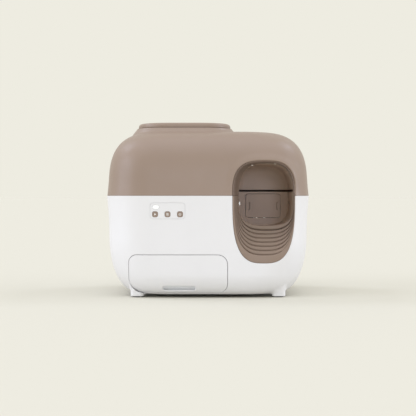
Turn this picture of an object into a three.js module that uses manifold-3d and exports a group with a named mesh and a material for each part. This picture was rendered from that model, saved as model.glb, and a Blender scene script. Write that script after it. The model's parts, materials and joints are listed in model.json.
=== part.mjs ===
// Self-cleaning cat litter box with a lift-off hood.
// Millimetres, +Z up, the entrance faces -Y, the origin is on the floor under the middle of the body.
import * as THREE from 'three';
import { mergeVertices } from 'three/addons/utils/BufferGeometryUtils.js';
import { ParametricGeometry } from 'three/addons/geometries/ParametricGeometry.js';
import Module from 'manifold-3d';

const wasm = await Module();
wasm.setup();

// Body envelope
const HALF_WIDTH = 311;
const HALF_DEPTH = 255;
const BODY_BOTTOM = 9;
const BODY_TOP = 503;
const SEAM = 305;
const SEAM_GAP = 0.6;
const WALL = 3;
const FIT = 0.4;
const SIDE_LEAN = 7;
const PLAN_CORNER = 145;
const PLAN_POWER = 2.35;
const TOP_ROLL = { start: 361, height: 142, width: 134, power: 2.45 };
const SIDE_ROLL = { start: 178, height: 169, width: 83.5, power: 2 };
const FRONT_ROLL = { start: 70, height: 61, width: 38, power: 2 };

// Doorway and the passage behind it: centre, half width, rise above and drop below the centre
const DOOR = { x: 166.6, z: 300, half: 94.4, up: 109, down: 196, power: 3 };
const INNER = { x: 177.4, z: 285, half: 84.6, up: 118, down: 77, power: 3 };
const STEP_FRONT = -251;
const LINER_TAPER = -222;
const LINER_SETBACK = 1.5;
const STEP_DEPTH = 11;
const STEP_RISE = 12;
const STEP_LOWEST = 127.7;
const STEP_COUNT = 7;
const THRESHOLD = 215;
const PASSAGE_START = -159;
const PASSAGE_BACK = 80;
const LOWER_WALL_TOP = 318;
const UPPER_WALL_BOTTOM = 324.5;

// Drum
const DRUM_Y = -15;
const DRUM_Z = 322;
const DRUM_RADIUS = 170;
const DRUM_MIDDLE = -110;
const DRUM_LEFT = { length: 172, power: 2.4 };
const DRUM_RIGHT = { length: 200, power: 2.6 };
const DRUM_SPLIT = 5;
const DRUM_END = 72;
const DRUM_WALL = 3;
const MOUTH_RADIUS = 84;
const TRACK_RADIUS = 166;
const TRACKS = [[-185, -165], [-20, 0]];
const PORT = { x0: -150, x1: -35, half: 50 };

// Drive
const MODULE = 6.5;
const RING_TEETH = 48;
const PINION_TEETH = 10;
const RING_X = 28;
const RING_WIDTH = 12;
const PINION_ANGLE = 40;
const ROLLER_RADIUS = 12;
const ROLLER_ANGLE = 35;

// Drawer
const DRAWER = { x0: -238, x1: 59, z0: 14, z1: 130, corners: [45, 28, 30, 25] };
const DRAWER_BACK = 200;
const TUB_TOP = 120;
const PULL = { x: -86, z: 29, half: 49, radius: 6.8 };
const PULL_BACK = -208;

// Control panel
const PANEL = { x0: -172, x1: -68, z0: 236, z1: 284, radius: 9 };
const BUTTON_XS = [-157, -120, -83];
const BUTTON_Z = 250;
const BUTTON_SIZE = 17;
const LIGHT = { x: -155, z: 271.5, half: 10, radius: 6 };

// Lid on the hood
const LID_X = -74;
const LID_Y = 5;
const LID_HALF_X = 145;
const LID_HALF_Y = 137;
const COLLAR_TOP = 515;
const LID_TOP = 530.4;
const LID_AXIS_Y = 148;
const LID_AXIS_Z = 519.6;

const FOOT = { x: 213, y: 193, half: 20 };

const DEGREE = Math.PI / 180;

// ---------------------------------------------------------------- solids from geometry

function solid(geometry) {
  const bare = geometry.clone();
  bare.deleteAttribute('normal');
  bare.deleteAttribute('uv');
  const merged = mergeVertices(bare, 1e-4);
  const corners = [];
  for (let i = 0; i < merged.index.count; i += 3) {
    const a = merged.index.getX(i);
    const b = merged.index.getX(i + 1);
    const c = merged.index.getX(i + 2);
    if (a !== b && b !== c && c !== a) {
      corners.push(a, b, c);
    }
  }
  const points = merged.attributes.position.array;
  if (signedVolume(points, corners) < 0) {
    corners.reverse();
  }
  return new wasm.Manifold(new wasm.Mesh({
    numProp: 3,
    vertProperties: new Float32Array(points),
    triVerts: new Uint32Array(corners),
  }));
}

function signedVolume(points, corners) {
  let total = 0;
  const a = new THREE.Vector3();
  const b = new THREE.Vector3();
  const c = new THREE.Vector3();
  for (let i = 0; i < corners.length; i += 3) {
    a.fromArray(points, corners[i] * 3);
    b.fromArray(points, corners[i + 1] * 3);
    c.fromArray(points, corners[i + 2] * 3);
    total += a.dot(b.cross(c));
  }
  return total;
}

function geometryOf(body) {
  const mesh = body.getMesh();
  const geometry = new THREE.BufferGeometry();
  geometry.setAttribute('position', new THREE.BufferAttribute(mesh.vertProperties, 3));
  geometry.setIndex(new THREE.BufferAttribute(mesh.triVerts, 1));
  geometry.computeVertexNormals();
  return geometry;
}

function united(parts) {
  return parts.reduce((whole, part) => whole.add(part));
}

function without(whole, cutters) {
  return cutters.reduce((rest, cutter) => rest.subtract(cutter), whole);
}

// ---------------------------------------------------------------- simple shapes

function box(x0, x1, y0, y1, z0, z1) {
  const geometry = new THREE.BoxGeometry(x1 - x0, y1 - y0, z1 - z0);
  geometry.translate((x0 + x1) / 2, (y0 + y1) / 2, (z0 + z1) / 2);
  return solid(geometry);
}

function rodX(radius, x0, x1, y, z, sides = 24) {
  const geometry = new THREE.CylinderGeometry(radius, radius, x1 - x0, sides);
  geometry.rotateZ(Math.PI / 2);
  geometry.translate((x0 + x1) / 2, y, z);
  return solid(geometry);
}

function rodY(radius, y0, y1, x, z, sides = 24) {
  const geometry = new THREE.CylinderGeometry(radius, radius, y1 - y0, sides);
  geometry.translate(x, (y0 + y1) / 2, z);
  return solid(geometry);
}

function rodZ(radius, z0, z1, x, y, sides = 20) {
  const geometry = new THREE.CylinderGeometry(radius, radius, z1 - z0, sides);
  geometry.rotateX(Math.PI / 2);
  geometry.translate(x, y, (z0 + z1) / 2);
  return solid(geometry);
}

// A shape drawn in X and Z, swept along Y
function prismY(shape, y0, y1, curveSegments = 6) {
  const geometry = new THREE.ExtrudeGeometry(shape, { depth: y1 - y0, bevelEnabled: false, curveSegments });
  geometry.rotateX(Math.PI / 2);
  geometry.translate(0, y1, 0);
  return solid(geometry);
}

// A shape drawn in X and Y, swept along Z
function prismZ(shape, z0, z1, curveSegments = 6) {
  const geometry = new THREE.ExtrudeGeometry(shape, { depth: z1 - z0, bevelEnabled: false, curveSegments });
  geometry.translate(0, 0, z0);
  return solid(geometry);
}

// A shape drawn in Y and Z, swept along X
function prismX(shape, x0, x1, curveSegments = 6) {
  const geometry = new THREE.ExtrudeGeometry(shape, { depth: x1 - x0, bevelEnabled: false, curveSegments });
  geometry.rotateX(Math.PI / 2);
  geometry.rotateZ(Math.PI / 2);
  geometry.translate(x0, 0, 0);
  return solid(geometry);
}

// A profile of [x, radius] points turned about an axis along X
function turnedX(profile, y, z, sides = 28) {
  const points = profile.map(([x, radius]) => new THREE.Vector2(radius, x));
  const geometry = new THREE.LatheGeometry(points, sides);
  geometry.rotateZ(-Math.PI / 2);
  geometry.translate(0, y, z);
  return solid(geometry);
}

// Corner radii in the order lower left, lower right, upper right, upper left
function roundedRect(x0, z0, x1, z1, radii) {
  const [a, b, c, d] = Array.isArray(radii) ? radii : [radii, radii, radii, radii];
  const shape = new THREE.Shape();
  shape.moveTo(x0 + a, z0);
  shape.lineTo(x1 - b, z0);
  shape.absarc(x1 - b, z0 + b, b, -Math.PI / 2, 0, false);
  shape.lineTo(x1, z1 - c);
  shape.absarc(x1 - c, z1 - c, c, 0, Math.PI / 2, false);
  shape.lineTo(x0 + d, z1);
  shape.absarc(x0 + d, z1 - d, d, Math.PI / 2, Math.PI, false);
  shape.lineTo(x0, z0 + a);
  shape.absarc(x0 + a, z0 + a, a, Math.PI, Math.PI * 1.5, false);
  return shape;
}

function insetRect(rect, inset) {
  const radii = rect.corners.map((radius) => radius - inset);
  return roundedRect(rect.x0 + inset, rect.z0 + inset, rect.x1 - inset, rect.z1 - inset, radii);
}

function pillShape(pill, inset) {
  const r = pill.radius - inset;
  const half = pill.half - inset;
  return roundedRect(pill.x - half, pill.z - r, pill.x + half, pill.z + r, r * 0.98);
}

function power(value, exponent) {
  return Math.sign(value) * Math.abs(value) ** exponent;
}

// ---------------------------------------------------------------- outer form of the body

function roll(distance, curve, offset) {
  const height = curve.height - offset;
  const t = Math.min(Math.max(distance / height, 0), 1);
  return (curve.width - offset) * (1 - (1 - t ** curve.power) ** (1 / curve.power));
}

function lean(z) {
  const t = Math.min(Math.abs(z - SEAM) / 130, 1);
  return SIDE_LEAN * t * (2 - t);
}

// How far the side wall and the front wall stand in from the widest plan at a height
function insets(z, offset) {
  const top = roll(z - TOP_ROLL.start, TOP_ROLL, offset);
  const side = roll(SIDE_ROLL.start - z, SIDE_ROLL, offset);
  const front = roll(FRONT_ROLL.start - z, FRONT_ROLL, offset);
  return [offset + lean(z) + top + side, offset + lean(z) * (z > SEAM ? 1 : 0.5) + top + front];
}

function bodyHeights(offset) {
  const heights = [];
  for (let angle = 90; angle >= 0; angle -= 22.5) {
    heights.push(FRONT_ROLL.start - (FRONT_ROLL.height - offset) * Math.sin(angle * DEGREE));
  }
  heights.push(100, 135, SIDE_ROLL.start, 240, SEAM, TOP_ROLL.start);
  for (let angle = 15; angle <= 90; angle += 15) {
    const rise = Math.sin(angle * DEGREE) ** (2 / TOP_ROLL.power);
    heights.push(TOP_ROLL.start + (TOP_ROLL.height - offset) * rise);
  }
  return heights;
}

const CORNER_STEPS = 6;

function bodyPlanPoint(index, z, offset, target) {
  const [dx, dy] = insets(z, offset);
  const corner = PLAN_CORNER - 0.175 * (dx + dy);
  const count = CORNER_STEPS + 1;
  const quarter = Math.floor(index / count) % 4;
  const angle = (quarter + (index % count) / CORNER_STEPS) * 90 * DEGREE;
  const signX = [1, -1, -1, 1][quarter];
  const signY = [1, 1, -1, -1][quarter];
  const x = signX * (HALF_WIDTH - dx - corner) + corner * power(Math.cos(angle), 2 / PLAN_POWER);
  const y = signY * (HALF_DEPTH - dy - corner) + corner * power(Math.sin(angle), 2 / PLAN_POWER);
  target.set(x, y, z);
}

// The whole outer form, shrunk by an offset
function bodyForm(offset) {
  const heights = bodyHeights(offset);
  const around = 4 * (CORNER_STEPS + 1);
  const rows = heights.length + 1;
  const surface = (u, v, target) => {
    const row = Math.round(v * rows);
    if (row === 0 || row === rows) {
      target.set(0, 0, row === 0 ? heights[0] : heights[heights.length - 1]);
      return;
    }
    bodyPlanPoint(Math.round(u * around) % around, heights[row - 1], offset, target);
  };
  return solid(new ParametricGeometry(surface, around, rows));
}

// ---------------------------------------------------------------- doorway and passage

function ovalPoint(oval, inset, angle) {
  const c = power(Math.cos(angle), 2 / oval.power);
  const s = power(Math.sin(angle), 2 / oval.power);
  const reach = s > 0 ? oval.up - inset : oval.down - inset;
  return [oval.x + (oval.half - inset) * c, oval.z + reach * s];
}

const OVAL_STEPS = 32;

function ovalShape(oval, inset) {
  const points = [];
  for (let i = 0; i < OVAL_STEPS; i += 1) {
    const [x, z] = ovalPoint(oval, inset, (i / OVAL_STEPS) * 2 * Math.PI);
    points.push(new THREE.Vector2(x, z));
  }
  return new THREE.Shape(points);
}

function blendOval(a, b, t) {
  const mixed = {};
  for (const key of Object.keys(a)) {
    mixed[key] = a[key] + (b[key] - a[key]) * t;
  }
  return mixed;
}

// A tube of oval sections; each station is [y, oval, inset]
function ovalLoft(stations) {
  const rows = stations.length + 1;
  const surface = (u, v, target) => {
    const row = Math.round(v * rows);
    const [y, oval, inset] = stations[Math.min(Math.max(row - 1, 0), stations.length - 1)];
    if (row === 0 || row === rows) {
      target.set(oval.x, y, oval.z);
      return;
    }
    const step = Math.round(u * OVAL_STEPS) % OVAL_STEPS;
    const [x, z] = ovalPoint(oval, inset, (step / OVAL_STEPS) * 2 * Math.PI);
    target.set(x, y, z);
  };
  return solid(new ParametricGeometry(surface, OVAL_STEPS, rows));
}

const below = box(-400, 400, -400, 400, -50, SEAM - SEAM_GAP / 2);
const above = box(-400, 400, -400, 400, SEAM + SEAM_GAP / 2, 600);
const form = bodyForm(0);
const insideWall = bodyForm(WALL);

// ---------------------------------------------------------------- scene graph

const group = new THREE.Group();

function material(color, roughness, metalness = 0) {
  return new THREE.MeshStandardMaterial({ color, roughness, metalness });
}

const WHITE = ['#eeeeec', 0.42];
const TAUPE = ['#a08f7e', 0.5];
const DARK_TAUPE = ['#70665c', 0.6];
const STEP_TAUPE = ['#8f8073', 0.6];
const GREY = ['#b9babb', 0.5];
const CHARCOAL = ['#35322f', 0.65];
const RUBBER = ['#2a2a2b', 0.85];
const STEEL = ['#b5b8bb', 0.3, 1];
const BOARD = ['#2c6b45', 0.55];

function place(name, body, finish, parent = group, at = null) {
  const geometry = geometryOf(body);
  if (at) {
    geometry.translate(-at[0], -at[1], -at[2]);
  }
  const mesh = new THREE.Mesh(geometry, material(...finish));
  mesh.name = name;
  if (at) {
    mesh.position.set(...at);
  }
  parent.add(mesh);
}

// ---------------------------------------------------------------- lower housing

const doorCut = prismY(ovalShape(DOOR, 0), -300, -200);
const drawerCut = prismY(insetRect(DRAWER, 0), -300, -150);
const panelShape = (inset) => roundedRect(
  PANEL.x0 + inset, PANEL.z0 + inset, PANEL.x1 - inset, PANEL.z1 - inset, PANEL.radius - inset);
const panelCut = prismY(panelShape(0), -300, -200, 3);
const INLET = { x: 205, y: 242, z: 75 };
const vents = [];
for (let i = 0; i < 7; i += 1) {
  const x = 138 + i * 13;
  vents.push(prismY(roundedRect(x, 226, x + 5, 296, 2.4), 200, 300, 3));
}
const PLATE = { x: 205, y: 128 };
const baseCuts = [
  insideWall,
  doorCut,
  drawerCut,
  panelCut,
  ...vents,
  rodY(7, 200, 300, INLET.x, INLET.z),
  box(-PLATE.x, PLATE.x, -PLATE.y, PLATE.y, 0, 40),
];
place('base_shell', without(form.intersect(below), baseCuts), WHITE);

const plate = box(-PLATE.x - 9, PLATE.x + 9, -PLATE.y - 9, PLATE.y + 9, 12.4, 14.6);
const SCREWS = [[-195, -118], [195, -118], [-195, 118], [195, 118]];
const screwHoles = SCREWS.map(([x, y]) => rodZ(2.4, 5, 20, x, y, 8));
place('bottom_plate', without(plate, screwHoles), GREY);
SCREWS.forEach(([x, y], i) => {
  const screw = rodZ(4, 9.6, 12, x, y, 12).add(rodZ(2, 11, 15.6, x, y, 8));
  place(`plate_screw_${i + 1}`, screw, STEEL);
});

// Feet under the four corners, cut to the underside of the housing
const feetBlank = bodyForm(-FIT);
const drawerPath = prismY(insetRect(DRAWER, -0.5), -300, 0);
const corners = [['front_left', -1, -1], ['front_right', 1, -1], ['rear_left', -1, 1], ['rear_right', 1, 1]];
for (const [side, sx, sy] of corners) {
  const x = sx * FOOT.x;
  const y = sy * FOOT.y;
  const outline = roundedRect(-FOOT.half, -FOOT.half, FOOT.half, FOOT.half, 11);
  const blank = new THREE.ExtrudeGeometry(outline, { depth: 42, bevelEnabled: false, curveSegments: 3 });
  const points = blank.attributes.position;
  for (let i = 0; i < points.count; i += 1) {
    const widen = 1 + 0.3 * points.getZ(i) / 42;
    points.setXYZ(i, points.getX(i) * widen, points.getY(i) * widen, points.getZ(i) + 3);
  }
  blank.translate(x, y, 0);
  const pocket = rodZ(9, 0, 10.4, x, y, 12);
  place(`foot_${side}`, without(solid(blank), [feetBlank, pocket, drawerPath]), WHITE);
  place(`load_cell_${side}`, rodZ(8.4, 3.1, 10, x, y, 12), STEEL);
  place(`foot_pad_${side}`, rodZ(14.5, 0, 2.7, x, y, 16), RUBBER);
}

// ---------------------------------------------------------------- entry steps and passage

const stepBack = PASSAGE_START - FIT;
const underSteps = ovalLoft([
  [STEP_FRONT - 10, DOOR, 0.5],
  [LINER_TAPER, DOOR, 0.5],
  [stepBack, { ...INNER, down: INNER.z - 205 }, -3],
]);
const stepCuts = [];
for (let k = 0; k <= STEP_COUNT; k += 1) {
  const y = STEP_FRONT + (k + 1) * STEP_DEPTH;
  const level = k < STEP_COUNT ? STEP_LOWEST + k * STEP_RISE : THRESHOLD;
  const section = blendOval(DOOR, INNER, Math.min(1, (k + 1) / STEP_COUNT));
  const edge = k === 0 ? 2.8 : 2.8 * (1 - k / (STEP_COUNT + 1));
  stepCuts.push([k === STEP_COUNT ? stepBack + 20 : y, section, level, edge]);
}
const stepVoids = stepCuts.map(([y, section, level, edge]) => {
  const opening = { ...section, down: section.z - level + edge };
  return prismY(ovalShape(opening, edge), -300, y);
});
const linerLimit = bodyForm(LINER_SETBACK);
const steps = without(underSteps.intersect(below).intersect(linerLimit), stepVoids);
const sillStart = STEP_FRONT + STEP_COUNT * STEP_DEPTH;
place('entry_steps', steps.intersect(box(0, 400, -300, sillStart - FIT / 2, 0, 400)), STEP_TAUPE);
place('entry_sill', steps.intersect(box(0, 400, sillStart + FIT / 2, -100, 0, 400)), STEP_TAUPE);

const FLOOR_OVAL = { ...INNER, down: INNER.z - 208 };
const passageOuter = ovalLoft([[PASSAGE_START, FLOOR_OVAL, -3], [PASSAGE_BACK, FLOOR_OVAL, -3]]);
const passageInner = ovalLoft([[PASSAGE_START - 10, FLOOR_OVAL, 0], [PASSAGE_BACK - 3, FLOOR_OVAL, 0]]);
const mouthCut = rodX(MOUTH_RADIUS + 6, 60, 112, DRUM_Y, DRUM_Z, 40);
const backPlate = passageOuter.intersect(box(0, 300, PASSAGE_BACK - 3, PASSAGE_BACK, 150, LOWER_WALL_TOP));
const CARTRIDGE = { x0: 123, x1: 236, z0: 233.5, z1: 311, corners: [8, 8, 8, 8] };
const cartridgeCut = prismY(insetRect(CARTRIDGE, -0.8), 60, 120, 3);
const lowerPassage = united([passageOuter.subtract(passageInner).intersect(below), backPlate]);
place('passage_base', without(lowerPassage, [mouthCut, cartridgeCut]), DARK_TAUPE);

const upperOuter = ovalLoft([
  [STEP_FRONT - 10, DOOR, 0.5],
  [LINER_TAPER, DOOR, 0.5],
  [-190, INNER, -3],
  [PASSAGE_BACK, INNER, -3],
]);
const upperInner = ovalLoft([
  [STEP_FRONT - 12, DOOR, 3],
  [STEP_FRONT + 10, DOOR, 3.2],
  [-190, INNER, 0],
  [PASSAGE_BACK - 3, INNER, 0],
]);
const backGap = box(60, 300, PASSAGE_BACK - 4, PASSAGE_BACK + 10, 200, UPPER_WALL_BOTTOM);
const SENSORS = [133, 203];
const SENSOR_Y = -182;
const SENSOR_DROP = 4.5;
const ceilingAt = (x) => INNER.z + INNER.up * (1 - (Math.abs(x - INNER.x) / INNER.half) ** 3) ** (1 / 3);
const sensorHoles = SENSORS.map((x) => rodZ(5, 340, 440, x, SENSOR_Y, 16));
const upperPassage = upperOuter.subtract(upperInner).intersect(above).intersect(linerLimit);
place('passage_hood_liner', without(upperPassage, [mouthCut, backGap, ...sensorHoles]), DARK_TAUPE);
SENSORS.forEach((x, i) => {
  const lens = rodZ(4.5, ceilingAt(x) - SENSOR_DROP, 440, x, SENSOR_Y, 16).intersect(upperOuter);
  place(`presence_sensor_${i === 0 ? 'left' : 'right'}`, lens, CHARCOAL);
});

// Small light window on the left side of the doorway, just inside it
const JAMB = { x0: 94, x1: 97.5, y: -179.5, z: 281.4, half: 6, radius: 3 };
const jambEnds = [-1, 1].map((side) => rodX(
  JAMB.radius, JAMB.x0, JAMB.x1, JAMB.y, JAMB.z + side * (JAMB.half - JAMB.radius), 16));
const jambMiddle = box(JAMB.x0, JAMB.x1, JAMB.y - JAMB.radius, JAMB.y + JAMB.radius,
  JAMB.z - JAMB.half + JAMB.radius, JAMB.z + JAMB.half - JAMB.radius);
place('jamb_sensor', united([...jambEnds, jambMiddle]), ['#ffffff', 0.25]);

// ---------------------------------------------------------------- control panel

const panelPlate = form.subtract(insideWall).intersect(prismY(panelShape(FIT), -300, -200, 3));
const buttonHole = (x) => prismY(roundedRect(
  x - BUTTON_SIZE / 2 - FIT, BUTTON_Z - BUTTON_SIZE / 2 - FIT,
  x + BUTTON_SIZE / 2 + FIT, BUTTON_Z + BUTTON_SIZE / 2 + FIT, 6), -300, -200, 3);
const panelHoles = BUTTON_XS.map(buttonHole);
panelHoles.push(prismY(pillShape(LIGHT, -FIT), -300, -200, 3));
place('control_panel', without(panelPlate, panelHoles), WHITE);
place('status_light', form.subtract(insideWall).intersect(prismY(pillShape(LIGHT, 0), -300, -200, 3)), ['#ffffff', 0.25]);

const boardParts = [box(PANEL.x0 + 4, PANEL.x1 - 4, -240, -238.4, PANEL.z0 + 2, PANEL.z1 - 4)];
for (const x of BUTTON_XS) {
  boardParts.push(box(x - 3, x + 3, -243, -239, BUTTON_Z - 3, BUTTON_Z + 3));
}
place('control_board', united(boardParts), BOARD);
const BUTTON_NAMES = ['clean_button', 'level_button', 'power_button'];
BUTTON_XS.forEach((x, i) => {
  const capShape = roundedRect(
    x - BUTTON_SIZE / 2, BUTTON_Z - BUTTON_SIZE / 2, x + BUTTON_SIZE / 2, BUTTON_Z + BUTTON_SIZE / 2, 5.6);
  const cap = prismY(capShape, -258, -245.5, 3).intersect(bodyForm(-0.7));
  place(BUTTON_NAMES[i], cap, TAUPE);
});

// ---------------------------------------------------------------- drawer

const frontPatch = form.subtract(insideWall).intersect(prismY(insetRect(DRAWER, 1.1), -300, -150));
const pullCut = prismY(pillShape(PULL, 0), -300, -100, 4);
place('drawer_front', frontPatch.subtract(pullCut), WHITE);

const cupOuter = prismY(pillShape(PULL, -3), -300, PULL_BACK, 4).intersect(bodyForm(WALL + 0.4));
place('drawer_finger_cup', cupOuter.subtract(prismY(pillShape(PULL, 0), -300, PULL_BACK - 3, 4)), GREY);

const tubOuter = prismY(insetRect(DRAWER, 5), -300, DRAWER_BACK)
  .intersect(bodyForm(WALL + 0.6)).intersect(box(-400, 400, -400, 400, 0, TUB_TOP));
const tubInner = prismY(insetRect(DRAWER, 7.5), -300, DRAWER_BACK - 2.5)
  .intersect(bodyForm(WALL + 3.1)).subtract(box(-400, 400, -400, 400, 0, 22));
const cupSpace = prismY(pillShape(PULL, -3.5), -300, PULL_BACK + 0.5, 4);
const tubPocket = prismY(pillShape(PULL, -6), -300, PULL_BACK + 3, 4).intersect(bodyForm(WALL + 0.6));
place('drawer_tub', tubOuter.subtract(tubInner).add(tubPocket).subtract(cupSpace), GREY);

const ringOuter = prismY(insetRect(DRAWER, 8.2), -205, DRAWER_BACK - 3.2)
  .intersect(box(-400, 400, -400, 400, 110, 118));
const ringInner = box(DRAWER.x0 + 24, DRAWER.x1 - 24, -182, DRAWER_BACK - 20, 100, 130);
const ringTrim = bodyForm(WALL + 3.6);
place('bag_ring', ringOuter.intersect(ringTrim).subtract(ringInner), CHARCOAL);

// ---------------------------------------------------------------- drum cradle and drive

const rollerReach = TRACK_RADIUS + ROLLER_RADIUS + 0.3;
const rollerZ = DRUM_Z - rollerReach * Math.cos(ROLLER_ANGLE * DEGREE);
const rollerYs = [-1, 1].map((side) => DRUM_Y + side * rollerReach * Math.sin(ROLLER_ANGLE * DEGREE));
const cradleParts = [box(-262, 70, -205, 200, 134, 137)];
const cradleCuts = [box(-155, -30, DRUM_Y - 62, DRUM_Y + 62, 100, 150)];
for (const y of rollerYs) {
  for (const x of [-202, 4]) {
    cradleParts.push(box(x, x + 6, y - 7, y + 7, 136, rollerZ + 5));
  }
  cradleCuts.push(rodX(3.4, -220, 30, y, rollerZ, 12));
}
place('drum_cradle', without(united(cradleParts), cradleCuts), GREY);
['front', 'rear'].forEach((side, i) => {
  const profile = [[-204, 0], [-204, 3]];
  for (const [a, b] of TRACKS) {
    profile.push([a + 2, 3], [a + 2, ROLLER_RADIUS], [b - 2, ROLLER_RADIUS], [b - 2, 3]);
  }
  profile.push([12, 3], [12, 0]);
  place(`${side}_rollers`, turnedX(profile, rollerYs[i], rollerZ, 16), CHARCOAL);
});

const RING_PITCH = MODULE * RING_TEETH / 2;
const PINION_PITCH = MODULE * PINION_TEETH / 2;
const pinionReach = RING_PITCH + PINION_PITCH + 0.4;
const pinionY = DRUM_Y + pinionReach * Math.sin(PINION_ANGLE * DEGREE);
const pinionZ = DRUM_Z - pinionReach * Math.cos(PINION_ANGLE * DEGREE);

// Straight-flanked gear outline in Y and Z; first is the direction of the first tooth
function gearShape(teeth, y, z, first) {
  const radius = MODULE * teeth / 2;
  const pitch = 2 * Math.PI / teeth;
  const steps = [[-0.27, -1.2], [-0.12, 0.9], [0.12, 0.9], [0.27, -1.2]];
  const points = [];
  for (let i = 0; i < teeth; i += 1) {
    for (const [turn, height] of steps) {
      const angle = first + (i + turn) * pitch;
      const reach = radius + height * MODULE;
      points.push(new THREE.Vector2(y + reach * Math.cos(angle), z + reach * Math.sin(angle)));
    }
  }
  return new THREE.Shape(points);
}

const toPinion = Math.atan2(pinionZ - DRUM_Z, pinionY - DRUM_Y);
const toDrum = toPinion + Math.PI;

function drumRadius(x) {
  const side = x < DRUM_MIDDLE ? DRUM_LEFT : DRUM_RIGHT;
  const t = Math.min(Math.abs(x - DRUM_MIDDLE) / side.length, 1);
  return DRUM_RADIUS * (1 - t ** side.power) ** (1 / side.power);
}

const ringBore = drumRadius(RING_X) + 0.6;
const ringGear = prismX(gearShape(RING_TEETH, DRUM_Y, DRUM_Z, toPinion), RING_X, RING_X + RING_WIDTH)
  .subtract(rodX(ringBore, RING_X - 5, RING_X + RING_WIDTH + 5, DRUM_Y, DRUM_Z, 32));
const pinionFirst = toDrum + Math.PI / PINION_TEETH;
const pinion = prismX(gearShape(PINION_TEETH, pinionY, pinionZ, pinionFirst), RING_X - 2, RING_X + RING_WIDTH + 2)
  .add(rodX(4, RING_X - 6, 50, pinionY, pinionZ, 12));

// ---------------------------------------------------------------- drum

const leftXs = [];
for (let angle = 0; angle <= 90; angle += 15) {
  leftXs.push(DRUM_MIDDLE - DRUM_LEFT.length * Math.cos(angle * DEGREE) ** (2 / DRUM_LEFT.power));
}
const bowlOuter = [];
for (const x of leftXs) {
  bowlOuter.push([x, drumRadius(x)]);
}
const bowlInner = bowlOuter.map(([x, r]) => [DRUM_MIDDLE + (x - DRUM_MIDDLE) * 0.983, r * 0.9824]);
const [track0, track1] = TRACKS;
const bandPoints = ([a, b]) => [[a, drumRadius(a)], [a, TRACK_RADIUS], [b, TRACK_RADIUS], [b, drumRadius(b)]];
const outerBowl = [
  ...bowlOuter.filter(([x]) => x < track0[0] - 2),
  ...bandPoints(track0),
  ...bowlOuter.filter(([x]) => x > track0[1] + 2),
  [-70, drumRadius(-70)],
  ...bandPoints(track1),
  [DRUM_SPLIT, drumRadius(DRUM_SPLIT)],
];
const innerBowl = [
  ...bowlInner,
  [-70, drumRadius(-70) - DRUM_WALL],
  [-30, drumRadius(-30) - DRUM_WALL],
  [DRUM_SPLIT, drumRadius(DRUM_SPLIT) - DRUM_WALL],
];
const bowl = turnedX([...outerBowl, ...innerBowl.reverse()], DRUM_Y, DRUM_Z);
const portCut = box(PORT.x0, PORT.x1, DRUM_Y - PORT.half, DRUM_Y + PORT.half, DRUM_Z + 100, DRUM_Z + 200);
const drumPivot = [0, DRUM_Y, DRUM_Z];
place('drum_bowl', bowl.subtract(portCut), GREY, group, drumPivot);

const frontXs = [DRUM_SPLIT + FIT, 27, 41, 52, 62, 68];
const frontOuter = frontXs.map((x) => [x, drumRadius(x)]);
const frontInner = frontXs.map((x) => [x, drumRadius(x) - DRUM_WALL]);
frontInner[frontInner.length - 1] = [65, drumRadius(68) - DRUM_WALL];
const coneProfile = [
  ...frontOuter,
  [DRUM_END - 1, MOUTH_RADIUS + 8],
  [DRUM_END - 1, MOUTH_RADIUS],
  [DRUM_END - 5, MOUTH_RADIUS],
  ...frontInner.reverse(),
];
coneProfile.push(coneProfile[0]);
place('drum_front', turnedX(coneProfile, DRUM_Y, DRUM_Z), GREY, group, drumPivot);
const mouthRing = [
  [DRUM_END - 0.6, MOUTH_RADIUS], [DRUM_END - 0.6, MOUTH_RADIUS + 7],
  [DRUM_END + 3, MOUTH_RADIUS + 5], [DRUM_END + 3, MOUTH_RADIUS], [DRUM_END - 0.6, MOUTH_RADIUS],
];
place('drum_mouth_seal', turnedX(mouthRing, DRUM_Y, DRUM_Z), RUBBER, group, drumPivot);
place('drum_ring_gear', ringGear, CHARCOAL, group, drumPivot);
place('drive_pinion', pinion, CHARCOAL);

// Flexible litter mat on the lower wall of the drum
const bandXs = [-205, -160, -110, -50, -4];
const matOuter = bandXs.map((x) => [x, drumRadius(x) - 5.4]);
const matInner = bandXs.map((x) => [x, drumRadius(x) - 8.4]).reverse();
const matRing = turnedX([...matOuter, ...matInner, matOuter[0]], DRUM_Y, DRUM_Z);
place('litter_mat', matRing.intersect(box(-300, 0, -200, 170, 100, DRUM_Z - 95)), CHARCOAL, group, drumPivot);

// Sieve that lets clean litter through and carries clumps to the port
const sieveOuter = [[-150, 141], [-35, 141], [-35, 138], [-150, 138], [-150, 141]];
const sieveSector = new THREE.Shape();
sieveSector.moveTo(DRUM_Y, DRUM_Z);
sieveSector.lineTo(DRUM_Y + 55, DRUM_Z + 200);
sieveSector.lineTo(DRUM_Y + 200, DRUM_Z + 55);
const sieveBand = turnedX(sieveOuter, DRUM_Y, DRUM_Z, 36).intersect(prismX(sieveSector, -160, -20));
const sieveSlots = [];
for (let i = 0; i < 8; i += 1) {
  const x = -142 + i * 12.8;
  const slot = new THREE.Shape();
  slot.moveTo(DRUM_Y + 20, DRUM_Z + 40);
  slot.lineTo(DRUM_Y + 67, DRUM_Z + 165);
  slot.lineTo(DRUM_Y + 165, DRUM_Z + 67);
  slot.lineTo(DRUM_Y + 40, DRUM_Z + 20);
  sieveSlots.push(prismX(slot, x, x + 8));
}
const sieveLegs = [-150, -38].map((x) => {
  const leg = new THREE.Shape();
  leg.moveTo(DRUM_Y + 45, DRUM_Z + 130);
  leg.lineTo(DRUM_Y + 54, DRUM_Z + 148);
  leg.lineTo(DRUM_Y + 64, DRUM_Z + 143);
  leg.lineTo(DRUM_Y + 58, DRUM_Z + 124);
  return prismX(leg, x, x + 3);
});
place('litter_sieve', united([without(sieveBand, sieveSlots), ...sieveLegs]), GREY, group, drumPivot);

// ---------------------------------------------------------------- drive train, electronics, fan

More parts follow.
